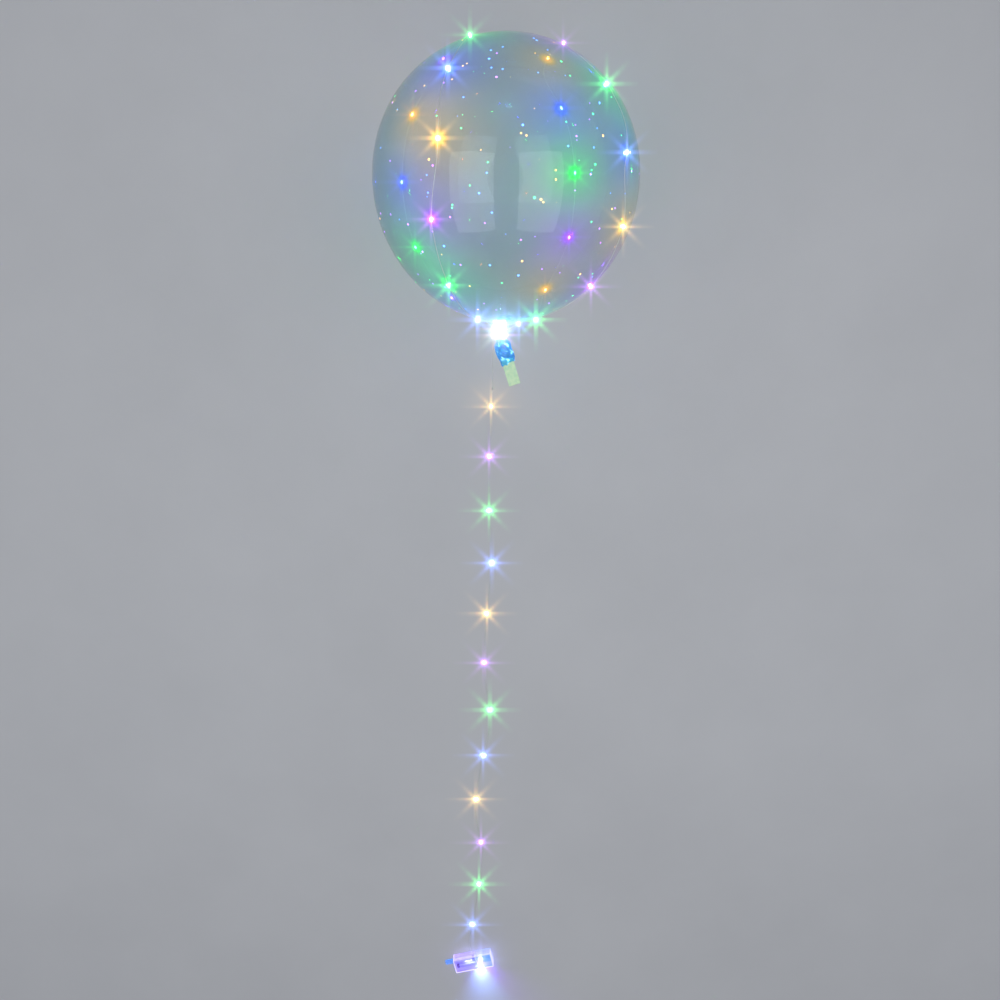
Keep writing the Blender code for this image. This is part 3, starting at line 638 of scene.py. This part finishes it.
# The lamps' light is painted on the film: each lamp has a soft painted glow of its colour on it.
# It is painted white-hot under the wound lamps, and painted blue light runs down the skirt.
CLOSE_GLOW = (0.55, 0.0090)
WIDE_GLOW = (0.085, 0.056)
NECK_GLOW = (0.42, 0.024)
NECK_GLOW_COLOUR = (0.06, 0.75, 0.85)
GLOW_MIDDLE = 0.010
SKIRT_GLOW = (0.02, 0.36, 0.95)
SKIRT_GLOW_FADE = 0.070
SKIRT_SPARKLE = (0.55, 0.90, 1.0)
CRUMPLE_LIGHT_SCALE = 170.0
WHITE_HOT = 1.9
HOT_TINT = (0.88, 1.0, 1.0)
GLOW_TINT = 2.6
SKIRT_LIGHT_TINT = np.array((0.16, 0.58, 0.90))
film_points = np.array([tuple(place) for place in film_verts])
glow = np.zeros((len(film_points), 3))
for place, colour in lamp_glow[:LOOP_LAMPS]:
    distance = np.linalg.norm(film_points - np.array(place), axis=1)
    for weight, spread in (CLOSE_GLOW, WIDE_GLOW):
        glow += weight * np.exp(-(distance / spread) ** 2)[:, None] * np.array(colour)
beyond_neck = (film_points - BALLOON_CENTRE) @ neck_way
piped = np.clip((beyond_neck - NECK_START + 0.004) / 0.010, 0.0, 1.0)
fade = np.clip(1.25 - (beyond_neck - NECK_START) / SKIRT_GLOW_FADE, 0.25, 1.0)
# Random noise that varies the painted glow and the painted glints on the crumpled skirt.
crumple_light_noise = np.array([noise.noise(Vector(place) * CRUMPLE_LIGHT_SCALE) for place in film_points])
glow *= (1.0 - 0.85 * piped)[:, None]
glow += (0.20 * piped * fade * (1.0 + 1.2 * crumple_light_noise))[:, None] * np.array(SKIRT_GLOW)
# Painted glints: specks of white-blue light on the crumpled skirt.
glow += (2.2 * piped * np.clip(crumple_light_noise - 0.22, 0.0, 0.35))[:, None] * np.array(SKIRT_SPARKLE)
neck_middle = BALLOON_CENTRE + neck_way * (NECK_START - GLOW_MIDDLE)
from_neck = np.linalg.norm(film_points - neck_middle, axis=1)
neck_part = NECK_GLOW[0] * (1.0 - piped) * np.exp(-(from_neck / NECK_GLOW[1]) ** 2)
glow += neck_part[:, None] * np.array(NECK_GLOW_COLOUR)
glow = np.clip(glow, 0.0, 1.0)
# The film's colour is tinted by the painted glow of nearby lamps, and the skirt's is painted blue by their
# light.
tint = np.clip(1.0 - GLOW_TINT * (glow.max(axis=1)[:, None] - glow), 0.30, 1.0)
tint += piped[:, None] * (SKIRT_LIGHT_TINT - tint)
# A painted white-hot glow on the film under the wound lamps.
glow_under_wire = np.clip((beyond_neck - NECK_START + 0.001) / 0.003, 0.0, 1.0)
glow_under_wire *= np.clip((NECK_END + 0.001 - beyond_neck) / 0.004, 0.0, 1.0)
glow += (WHITE_HOT * glow_under_wire)[:, None] * np.array(HOT_TINT)
for layer_name, values in (("lamp glow", glow), ("painted lamp tint", tint)):
    layer = film_mesh.color_attributes.new(layer_name, "FLOAT_COLOR", "POINT")
    layer.data.foreach_set("color", np.concatenate([values, np.ones((len(values), 1))], axis=1).ravel())

# The film is clear, and darker at its rim, where the wall is seen edge on. Small painted reflections
# of the lamps, in their four colours, are dotted over it as specks of light.
REFLECTION_DOT_SCALE = 50.0
REFLECTION_DOT_EDGE = {"From Min": 0.092, "From Max": 0.052}
REFLECTION_DOT_LIGHT = 2.0
REFLECTION_DOT_HUES = [
    (0.0, (1.0, 0.45, 0.06)), (0.25, (0.55, 0.14, 1.0)), (0.50, (0.03, 1.0, 0.25)), (0.75, (0.08, 0.30, 1.0)),
]
film, film_tree, film_shader = new_material("clear film", (0.93, 0.98, 0.98), 0.015)
film_shader.inputs["Transmission Weight"].default_value = 1.0
film_shader.inputs["IOR"].default_value = 1.38
film_shader.inputs["Emission Strength"].default_value = 1.0
film_links = film_tree.links
facing = add_node(film_tree, "LayerWeight", {"Blend": 0.28})
facing_tints = {"A": (0.87, 0.94, 0.95, 1.0), "B": (0.26, 0.54, 0.62, 1.0)}
film_tint = add_node(film_tree, "Mix", facing_tints, data_type="RGBA")
film_links.new(facing.outputs["Facing"], film_tint.inputs["Factor"])
# The film's colour is multiplied by the painted lamp tint.
painted_lamp_tint = add_node(film_tree, "Attribute", attribute_name="painted lamp tint")
tinted = add_node(film_tree, "Mix", {"Factor": 1.0}, data_type="RGBA", blend_type="MULTIPLY")
film_links.new(film_tint.outputs["Result"], tinted.inputs["A"])
film_links.new(painted_lamp_tint.outputs["Color"], tinted.inputs["B"])
film_links.new(tinted.outputs["Result"], film_shader.inputs["Base Color"])
glow_colour = add_node(film_tree, "Attribute", attribute_name="lamp glow")
film_own = add_node(film_tree, "TexCoord")
# Painted reflections: small dots of lamp colour, glowing on the film.
reflection_cells = add_node(film_tree, "TexVoronoi", {"Scale": REFLECTION_DOT_SCALE})
film_links.new(film_own.outputs["Object"], reflection_cells.inputs["Vector"])
reflection_dots = add_node(film_tree, "MapRange", REFLECTION_DOT_EDGE, interpolation_type="SMOOTHSTEP")
film_links.new(reflection_cells.outputs["Distance"], reflection_dots.inputs["Value"])
reflection_channels = add_node(film_tree, "SeparateColor")
film_links.new(reflection_cells.outputs["Color"], reflection_channels.inputs["Color"])
reflection_hue = add_ramp(film_tree, REFLECTION_DOT_HUES, "CONSTANT")
film_links.new(reflection_channels.outputs["Red"], reflection_hue.inputs["Fac"])
reflection_bright = add_node(film_tree, "VectorMath", {"Scale": REFLECTION_DOT_LIGHT}, operation="SCALE")
film_links.new(reflection_hue.outputs["Color"], reflection_bright.inputs[0])
# The painted glow and the painted reflections both go to the film's emission.
all_light = add_node(film_tree, "Mix", data_type="RGBA")
film_links.new(reflection_dots.outputs["Result"], all_light.inputs["Factor"])
film_links.new(glow_colour.outputs["Color"], all_light.inputs["A"])
film_links.new(reflection_bright.outputs["Vector"], all_light.inputs["B"])
film_links.new(all_light.outputs["Result"], film_shader.inputs["Emission Color"])
creases = add_node(film_tree, "TexNoise", {"Scale": 11.0, "Detail": 1.0})
film_links.new(film_own.outputs["Object"], creases.inputs["Vector"])
film_bump = add_node(film_tree, "Bump", {"Strength": 0.02, "Distance": 0.002})
film_links.new(creases.outputs["Fac"], film_bump.inputs["Height"])
film_links.new(film_bump.outputs["Normal"], film_shader.inputs["Normal"])


def let_light_through(tree, shader, tint):
    """Lamps' light passes the clear wall without the shadow that solid glass would throw."""
    links = tree.links
    path = add_node(tree, "LightPath")
    passing = add_node(tree, "BsdfTransparent", {"Color": (*tint, 1.0)})
    either = add_node(tree, "MixShader")
    links.new(path.outputs["Is Shadow Ray"], either.inputs[0])
    links.new(shader.outputs["BSDF"], either.inputs[1])
    links.new(passing.outputs["BSDF"], either.inputs[2])
    links.new(either.outputs["Shader"], tree.nodes["Material Output"].inputs["Surface"])


let_light_through(film_tree, film_shader, (0.94, 0.97, 0.97))
film.cycles.emission_sampling = "NONE"
balloon = add_piece("film_balloon", film_mesh, film)
film_wall = balloon.modifiers.new("film thickness", "SOLIDIFY")
film_wall.thickness = FILM_THICKNESS
film_wall.offset = -1.0
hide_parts("balloon")

# Filling valve. A flat strip of pale mint film, heat-sealed along both edges, is slipped into
# the skirt's open end and hangs out of it.
VALVE_WIDTH = 0.0180
VALVE_THICKNESS = 0.0005
VALVE_DEPTH = 0.0080
VALVE_SHOWN = 0.0330
VALVE_ACROSS = 36
VALVE_ALONG = 60
VALVE_CORNER = 0.0012
VALVE_RELAX = 0.012
VALVE_CURL = 0.0016
VALVE_RIPPLE = 0.0009
SEAL_WIDTH = 0.0022
SEAL_EDGE = 0.0006
SEAL_RIBS = 0.0011
valve_top = SKIRT_OVERLAP + SKIRT_LENGTH - VALVE_DEPTH + GAP
valve_length = VALVE_DEPTH - GAP + VALVE_SHOWN
valve_verts = []
for side in (1, -1):
    for i in range(VALVE_ALONG + 1):
        down = valve_length * i / VALVE_ALONG
        shown = ease((down - VALVE_DEPTH) / VALVE_RELAX)
        past_corner = max(0.0, (down - valve_length) / VALVE_CORNER + 1.0)
        corner = VALVE_CORNER * (1.0 - math.sqrt(max(0.0, 1.0 - past_corner ** 2)))
        for k in range(VALVE_ACROSS + 1):
            share = 2.0 * k / VALVE_ACROSS - 1.0
            across = share * (0.5 * VALVE_WIDTH - corner)
            in_seal = ease((abs(across) - (0.5 * VALVE_WIDTH - SEAL_WIDTH)) / SEAL_EDGE)
            ribbing = 0.5 + 0.5 * math.cos(down * math.tau / SEAL_RIBS)
            thick = 0.5 * VALVE_THICKNESS * (0.80 - 0.45 * in_seal + 0.30 * in_seal * ribbing)
            ripple = noise.noise(Vector((across * 130.0, down * 95.0, 2.2)))
            curl = VALVE_CURL * (share * share) * shown + VALVE_RIPPLE * ripple * shown
            valve_verts.append((across, -(valve_top + down), side * thick + curl))
valve_faces = []
valve_row = VALVE_ACROSS + 1
valve_sheet = valve_row * (VALVE_ALONG + 1)
for i in range(VALVE_ALONG):
    for k in range(VALVE_ACROSS):
        a = i * valve_row + k
        b = a + valve_row
        valve_faces.append((a, b, b + 1, a + 1))
        valve_faces.append((valve_sheet + a, valve_sheet + a + 1, valve_sheet + b + 1, valve_sheet + b))
valve_rim = list(range(valve_row))
valve_rim += [i * valve_row + VALVE_ACROSS for i in range(1, VALVE_ALONG + 1)]
valve_rim += [VALVE_ALONG * valve_row + k for k in range(VALVE_ACROSS - 1, -1, -1)]
valve_rim += [i * valve_row for i in range(VALVE_ALONG - 1, 0, -1)]
for a, b in zip(valve_rim, valve_rim[1:] + valve_rim[:1]):
    valve_faces.append((a, b, valve_sheet + b, valve_sheet + a))
valve_mesh = bpy.data.meshes.new("mint strip")
valve_mesh.from_pydata(valve_verts, [], valve_faces)
MINT_LIGHT = (0.70, 0.88, 0.56)
MINT_DARK = (0.48, 0.74, 0.47)
mint, mint_tree, mint_shader = new_material("mint valve film", (0.62, 0.86, 0.66), 0.45)
mint_tone_and_glow = add_unevenness(mint_tree, mint_shader, 150.0, MINT_LIGHT, MINT_DARK, 0.30, 0.60, 0.0004)
# The mint film also has a faint painted glow of the lamps' light, in its own mottled colours.
mint_tree.links.new(mint_tone_and_glow.outputs["Colour"], mint_shader.inputs["Emission Color"])
mint_shader.inputs["Emission Strength"].default_value = 0.10
mint.cycles.emission_sampling = "NONE"
valve = add_piece("mint_valve_strip", valve_mesh, mint, skirt_place)
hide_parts("valve_strip")

# Battery case. Tray and lid are moulded in clear plastic, and the light of the lamp inside is painted
# on them as a glow: violet over the cells, blue at the tab and the free end, and brightest along
# the walls. Their edges are slightly rounded from the mould.
CASE_HALF_LENGTH = 0.0395
CASE_WALL = 0.0013
MOULD_ROUND = 0.00028
WALL_MIDDLE = 0.0004
WALL_GLOW_BAND = {"From Min": 0.0017, "From Max": 0.0004}
WALL_GLOW_COLOUR = (0.80, 0.66, 1.0)
BODY_GLOW_COLOURS = [
    (0.0, (0.02, 0.20, 0.55)), (0.03, (0.22, 0.08, 0.62)), (0.50, (0.13, 0.10, 0.66)),
    (0.72, (0.02, 0.18, 0.62)), (1.0, (0.02, 0.20, 0.58)),
]


def lit_case_plastic(name, glow_strength):
    """Clear plastic with the lamp's light painted on it as a glow, laid out in the case's own frame."""
    material, tree, shader = new_material(name, (0.54, 0.58, 0.94), 0.06)
    shader.inputs["Transmission Weight"].default_value = 1.0
    shader.inputs["IOR"].default_value = 1.47
    links = tree.links
    place = add_node(tree, "TexCoord")
    case_frame = {"Location": CASE_PLACE.translation, "Rotation": CASE_PLACE.to_euler()}
    own = add_node(tree, "Mapping", case_frame, vector_type="TEXTURE")
    links.new(place.outputs["Object"], own.inputs["Vector"])
    split = add_node(tree, "SeparateXYZ")
    links.new(own.outputs["Vector"], split.inputs["Vector"])
    # Painted glow, brightest in a band along each wall.
    masks = []
    for axis, edge in (("X", CASE_HALF_LENGTH), ("Y", CASE_HALF_WIDTH)):
        size = add_node(tree, "Math", operation="ABSOLUTE")
        links.new(split.outputs[axis], size.inputs[0])
        beyond = add_node(tree, "Math", {1: edge - WALL_MIDDLE}, operation="SUBTRACT")
        links.new(size.outputs[0], beyond.inputs[0])
        off_wall = add_node(tree, "Math", operation="ABSOLUTE")
        links.new(beyond.outputs[0], off_wall.inputs[0])
        wall_glow_mask = add_node(tree, "MapRange", WALL_GLOW_BAND, interpolation_type="SMOOTHSTEP")
        links.new(off_wall.outputs[0], wall_glow_mask.inputs["Value"])
        masks.append(wall_glow_mask)
    either = add_node(tree, "Math", operation="MAXIMUM")
    links.new(masks[0].outputs["Result"], either.inputs[0])
    links.new(masks[1].outputs["Result"], either.inputs[1])
    haze = add_node(tree, "TexNoise", {"Scale": 120.0, "Detail": 5.0})
    links.new(place.outputs["Object"], haze.inputs["Vector"])
    # Painted glow colours along the case: violet over the cells, blue at the tab and the free end.
    along = add_node(tree, "MapRange", {"From Min": -CASE_HALF_LENGTH, "From Max": CASE_HALF_LENGTH})
    links.new(split.outputs["X"], along.inputs["Value"])
    body = add_ramp(tree, BODY_GLOW_COLOURS)
    links.new(along.outputs["Result"], body.inputs["Fac"])
    tint = add_node(tree, "Mix", {"B": (*WALL_GLOW_COLOUR, 1.0)}, data_type="RGBA")
    links.new(body.outputs["Color"], tint.inputs["A"])
    links.new(either.outputs[0], tint.inputs["Factor"])
    # The haze noise makes the painted glow uneven.
    cloudy_glow = add_node(tree, "Mix", {"Factor": 0.6}, data_type="RGBA", blend_type="MULTIPLY")
    links.new(tint.outputs["Result"], cloudy_glow.inputs["A"])
    links.new(haze.outputs["Fac"], cloudy_glow.inputs["B"])
    links.new(cloudy_glow.outputs["Result"], shader.inputs["Emission Color"])
    shader.inputs["Emission Strength"].default_value = glow_strength
    wipe = add_node(tree, "MapRange", {"To Min": 0.02, "To Max": 0.14})
    links.new(haze.outputs["Fac"], wipe.inputs["Value"])
    links.new(wipe.outputs["Result"], shader.inputs["Roughness"])
    let_light_through(tree, shader, (0.86, 0.88, 0.98))
    material.cycles.emission_sampling = "NONE"
    return material


for node_name, glow_strength in (("case_tray", 0.48), ("case_lid", 0.42)):
    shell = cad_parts[node_name]
    shell.data.materials.clear()
    shell.data.materials.append(lit_case_plastic(f"clear {node_name} plastic", glow_strength))
    flat = shell.modifiers.new("whole faces", "DECIMATE")
    flat.decimate_type = "DISSOLVE"
    flat.angle_limit = math.radians(1.0)
    edges = shell.modifiers.new("moulded edges", "BEVEL")
    edges.width = MOULD_ROUND
    edges.segments = 2
    edges.limit_method = "ANGLE"
    edges.angle_limit = math.radians(40.0)

# Cells. Two plain-jacketed AAA cells lie side by side, end to end reversed. A shrunk sleeve
# laps over both rims, with the bright steel can and the raised button showing at the ends.
CELL_RADIUS = 0.00525
CELL_LENGTH = 0.0433
NUB_RADIUS = 0.0019
NUB_LENGTH = 0.0012
CELL_OUTLINE = [
    (0.0002, CELL_LENGTH + NUB_LENGTH), (NUB_RADIUS - 0.0003, CELL_LENGTH + NUB_LENGTH),
    (NUB_RADIUS, CELL_LENGTH + NUB_LENGTH - 0.0003), (NUB_RADIUS, CELL_LENGTH + 0.0001),
    (NUB_RADIUS + 0.0002, CELL_LENGTH - 0.0001), (0.0040, CELL_LENGTH - 0.0001), (0.0041, CELL_LENGTH),
    (CELL_RADIUS - 0.0004, CELL_LENGTH), (CELL_RADIUS - 0.0001, CELL_LENGTH - 0.0001),
    (CELL_RADIUS, CELL_LENGTH - 0.0004), (CELL_RADIUS, 0.030), (CELL_RADIUS, 0.015),
    (CELL_RADIUS, 0.0004), (CELL_RADIUS - 0.0001, 0.0001), (CELL_RADIUS - 0.0004, 0.0),
    (0.0043, 0.0), (0.0042, 0.0003), (0.0002, 0.0003),
]
JACKET_BANDS = [
    (0.0, (0.60, 0.62, 0.72)), (0.02, (0.78, 0.80, 0.90)), (0.84, (0.76, 0.78, 0.90)),
    (0.855, (0.10, 0.10, 0.16)), (0.96, (0.10, 0.10, 0.16)), (0.985, (0.82, 0.84, 0.90)),
]
jacket, jacket_tree, jacket_shader = new_material("cell jacket", (0.66, 0.68, 0.78), 0.28, 0.35)
jacket_place = add_node(jacket_tree, "TexCoord")
jacket_split = add_node(jacket_tree, "SeparateXYZ")
jacket_tree.links.new(jacket_place.outputs["Object"], jacket_split.inputs["Vector"])
jacket_bands = add_ramp(jacket_tree, JACKET_BANDS, "EASE")
jacket_share = add_node(jacket_tree, "Math", {1: CELL_LENGTH}, operation="DIVIDE")
jacket_tree.links.new(jacket_split.outputs["Z"], jacket_share.inputs[0])
jacket_tree.links.new(jacket_share.outputs[0], jacket_bands.inputs["Fac"])
jacket_tree.links.new(jacket_bands.outputs["Color"], jacket_shader.inputs["Base Color"])
cell_near_end = -CASE_HALF_LENGTH + CASE_WALL + 2 * GAP
cell_far_end = cell_near_end + CELL_LENGTH + NUB_LENGTH
cell_height = CASE_WALL + GAP + CELL_RADIUS
for index, (side, foot) in enumerate(((1, cell_near_end), (-1, cell_far_end))):
    cell_mesh = turned_mesh(f"cell {index + 1}", CELL_OUTLINE, 40)
    stand = Matrix.Translation((foot, side * (CELL_RADIUS + GAP), cell_height))
    stand = stand @ Matrix.Rotation(math.radians(90 * side), 4, "Y")
    cell = add_piece(f"jacketed_cell_{index + 1}", cell_mesh, jacket, CASE_PLACE @ stand)
    cell.data.set_sharp_from_angle(angle=math.radians(35))
    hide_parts(f"battery_cell_{index + 1}")

# Case lamp. A 5 mm white lamp lies in the free end of the case and shines out through its long
# side. Its resin has a domed end, and a rim where it left the mould.
LAMP_LENGTH = 0.0086
LAMP_RADIUS = 0.0025
LAMP_RIM_RADIUS = 0.0029
LAMP_FROM_RIB = 0.0055
RIB_THICKNESS = 0.0012
DOME_STEPS = 10
dome = []
for i in range(DOME_STEPS + 1):
    angle = i * math.pi / (2 * DOME_STEPS)
    height = LAMP_LENGTH - LAMP_RADIUS + LAMP_RADIUS * math.cos(angle)
    dome.append((LAMP_RADIUS * math.sin(0.02 + angle), height))
dome += [
    (LAMP_RADIUS, 0.0012), (0.00282, 0.0010), (LAMP_RIM_RADIUS, 0.0008), (LAMP_RIM_RADIUS, 0.0002),
    (0.0027, 0.0), (0.0003, 0.0),
]
white_resin, white_tree, white_shader = new_material("white lit resin", (0.92, 0.95, 1.0), 0.10)
white_place = add_node(white_tree, "TexCoord")
white_split = add_node(white_tree, "SeparateXYZ")
white_tree.links.new(white_place.outputs["Object"], white_split.inputs["Vector"])
white_ramp = add_node(white_tree, "MapRange", {"From Max": LAMP_LENGTH})
white_tree.links.new(white_split.outputs["Z"], white_ramp.inputs["Value"])
white_ends = {"A": (0.20, 0.24, 0.60, 1.0), "B": (0.92, 0.96, 1.0, 1.0)}
white_tint = add_node(white_tree, "Mix", white_ends, data_type="RGBA")
white_tree.links.new(white_ramp.outputs["Result"], white_tint.inputs["Factor"])
white_tree.links.new(white_tint.outputs["Result"], white_shader.inputs["Emission Color"])
white_shader.inputs["Emission Strength"].default_value = 30.0
lamp_x = -CASE_HALF_LENGTH + CASE_WALL + CELL_LENGTH + NUB_LENGTH + 4 * GAP + RIB_THICKNESS + LAMP_FROM_RIB
lamp_stand = Matrix.Translation((lamp_x, 0.0, CASE_WALL + GAP + LAMP_RIM_RADIUS))
lamp_stand = lamp_stand @ Matrix.Rotation(math.radians(90), 4, "X")
lamp_mesh = turned_mesh("case lamp", dome, 32)
case_lamp = add_piece("white_case_lamp", lamp_mesh, white_resin, CASE_PLACE @ lamp_stand)
case_lamp.data.set_sharp_from_angle(angle=math.radians(40))
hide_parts("case_lamp")

# The case lamp's beam leaves through the long wall and spreads over the floor beyond the case,
# bluish white in the middle and violet at its sides. It falls off slowly, so that it carries
# well past the case, and a faint spill above the cells lights their jackets.
BEAM_CARRY = 30.0
BEAM_RADIUS = 0.0015
BEAM_BACK = 0.0052
BEAM_ASIDE = 0.0240
BEAM_OFF_MIDDLE = 0.0066
BEAM_HEIGHT = 0.0068
SPILL_SIZE = (0.020, 0.003)
SPILL_PLACE = (-0.0070, 0.0040, 0.0150)
for name, energy, colour, spread, dip in (
    ("case lamp beam", 0.66, (0.34, 0.88, 1.0), 74, 0.110),
    ("case lamp fringe", 0.62, (0.32, 0.07, 1.0), 150, 0.070),
):
    beam_data = bpy.data.lights.new(name, "SPOT")
    beam_data.energy = energy
    beam_data.color = colour
    beam_data.spot_size = math.radians(spread)
    beam_data.spot_blend = 1.0
    beam_data.shadow_soft_size = BEAM_RADIUS
    beam_data.use_nodes = True
    beam_tree = beam_data.node_tree
    beam_falloff = add_node(beam_tree, "LightFalloff", {"Strength": BEAM_CARRY})
    beam_tree.links.new(beam_falloff.outputs["Linear"], beam_tree.nodes["Emission"].inputs["Strength"])
    beam = bpy.data.objects.new(name, beam_data)
    beam_from = CASE_PLACE @ Vector((lamp_x - BEAM_BACK, -BEAM_OFF_MIDDLE, BEAM_HEIGHT))
    beam_to = CASE_PLACE @ Vector((lamp_x - BEAM_ASIDE, -CASE_HALF_WIDTH - dip, 0.0))
    beam.location = beam_from
    beam.rotation_euler = (beam_to - beam_from).to_track_quat("-Z", "Y").to_euler()
    scene.collection.objects.link(beam)


def add_area_light(name, size, energy, colour, place, turn):
    """A rectangular light that doesn't show itself in the picture."""
    light_data = bpy.data.lights.new(name, "AREA")
    light_data.shape = "RECTANGLE"
    light_data.size = size[0]
    light_data.size_y = size[1]
    light_data.energy = energy
    light_data.color = colour
    light = bpy.data.objects.new(name, light_data)
    light.location = place
    light.rotation_euler = turn
    light.visible_camera = False
    scene.collection.objects.link(light)


spill_at = CASE_PLACE @ Vector(SPILL_PLACE)
add_area_light("case lamp spill", SPILL_SIZE, 0.0018, (0.86, 0.92, 1.0), spill_at, CASE_PLACE.to_euler())

# Floor: pale painted board, faintly uneven in tone, on which the whole thing lies. It sits a
# hair below zero, so that it shares no plane with the pieces on it.
FLOOR_HALF = 6.0
FLOOR_DROP = 0.00015
floor_corners = [(x * FLOOR_HALF, y * FLOOR_HALF, 0) for x, y in ((-1, -1), (1, -1), (1, 1), (-1, 1))]
floor_mesh = bpy.data.meshes.new("floor")
floor_mesh.from_pydata(floor_corners, [], [(0, 1, 2, 3)])
floor = bpy.data.objects.new("floor", floor_mesh)
floor.location.z = -FLOOR_DROP
scene.collection.objects.link(floor)
board, board_tree, board_shader = new_material("pale floor", (0.66, 0.67, 0.69), 0.7)
add_unevenness(board_tree, board_shader, 2.5, (0.60, 0.605, 0.62), (0.565, 0.57, 0.585), 0.62, 0.78, 0.0)
floor_mesh.materials.append(board)

# Soft studio light: two tall diffusers, one each side of the viewpoint, and a dim plain room,
# so that the film has pale reflections and the lamps still stand out.
DIFFUSER_SIZE = (1.45, 2.4)
DIFFUSER_ASIDE = 1.05
DIFFUSER_ALONG = -0.45
DIFFUSER_HEIGHT = 2.15
for name, x in (("left diffuser", -DIFFUSER_ASIDE), ("right diffuser", DIFFUSER_ASIDE)):
    diffuser_at = (x, DIFFUSER_ALONG, DIFFUSER_HEIGHT)
    turn = (0.0, math.atan2(x, DIFFUSER_HEIGHT), 0.0)
    add_area_light(name, DIFFUSER_SIZE, 13.0, (0.97, 0.99, 1.0), diffuser_at, turn)
world = bpy.data.worlds.new("room")
world.use_nodes = True
set_values(world.node_tree.nodes["Background"], {"Color": (0.32, 0.33, 0.36, 1.0), "Strength": 1.0})
scene.world = world

# What the lens adds to small bright lamps: a soft bloom, and thin rays from the hottest ones.
# Both are made in the compositor, the rays first.
BLOOM = {"Threshold": 1.5, "Strength": 0.32, "Size": 0.22, "Clamp": True, "Maximum": 20.0}
RAYS = {
    "Threshold": 4.0, "Strength": 0.68, "Streaks": 8, "Fade": 0.50, "Iterations": 2, "Clamp": True,
    "Maximum": 30.0,
}
scene.view_settings.view_transform = "Standard"
scene.use_nodes = True
lens = scene.node_tree
lens.nodes.clear()
picture = lens.nodes.new("CompositorNodeRLayers")
bloom = lens.nodes.new("CompositorNodeGlare")
bloom.glare_type = "BLOOM"
set_values(bloom, BLOOM)
rays = lens.nodes.new("CompositorNodeGlare")
rays.glare_type = "STREAKS"
set_values(rays, RAYS)
shown = lens.nodes.new("CompositorNodeComposite")
lens.links.new(picture.outputs["Image"], rays.inputs["Image"])
lens.links.new(rays.outputs["Image"], bloom.inputs["Image"])
lens.links.new(bloom.outputs["Image"], shown.inputs["Image"])

bpy.context.view_layer.update()
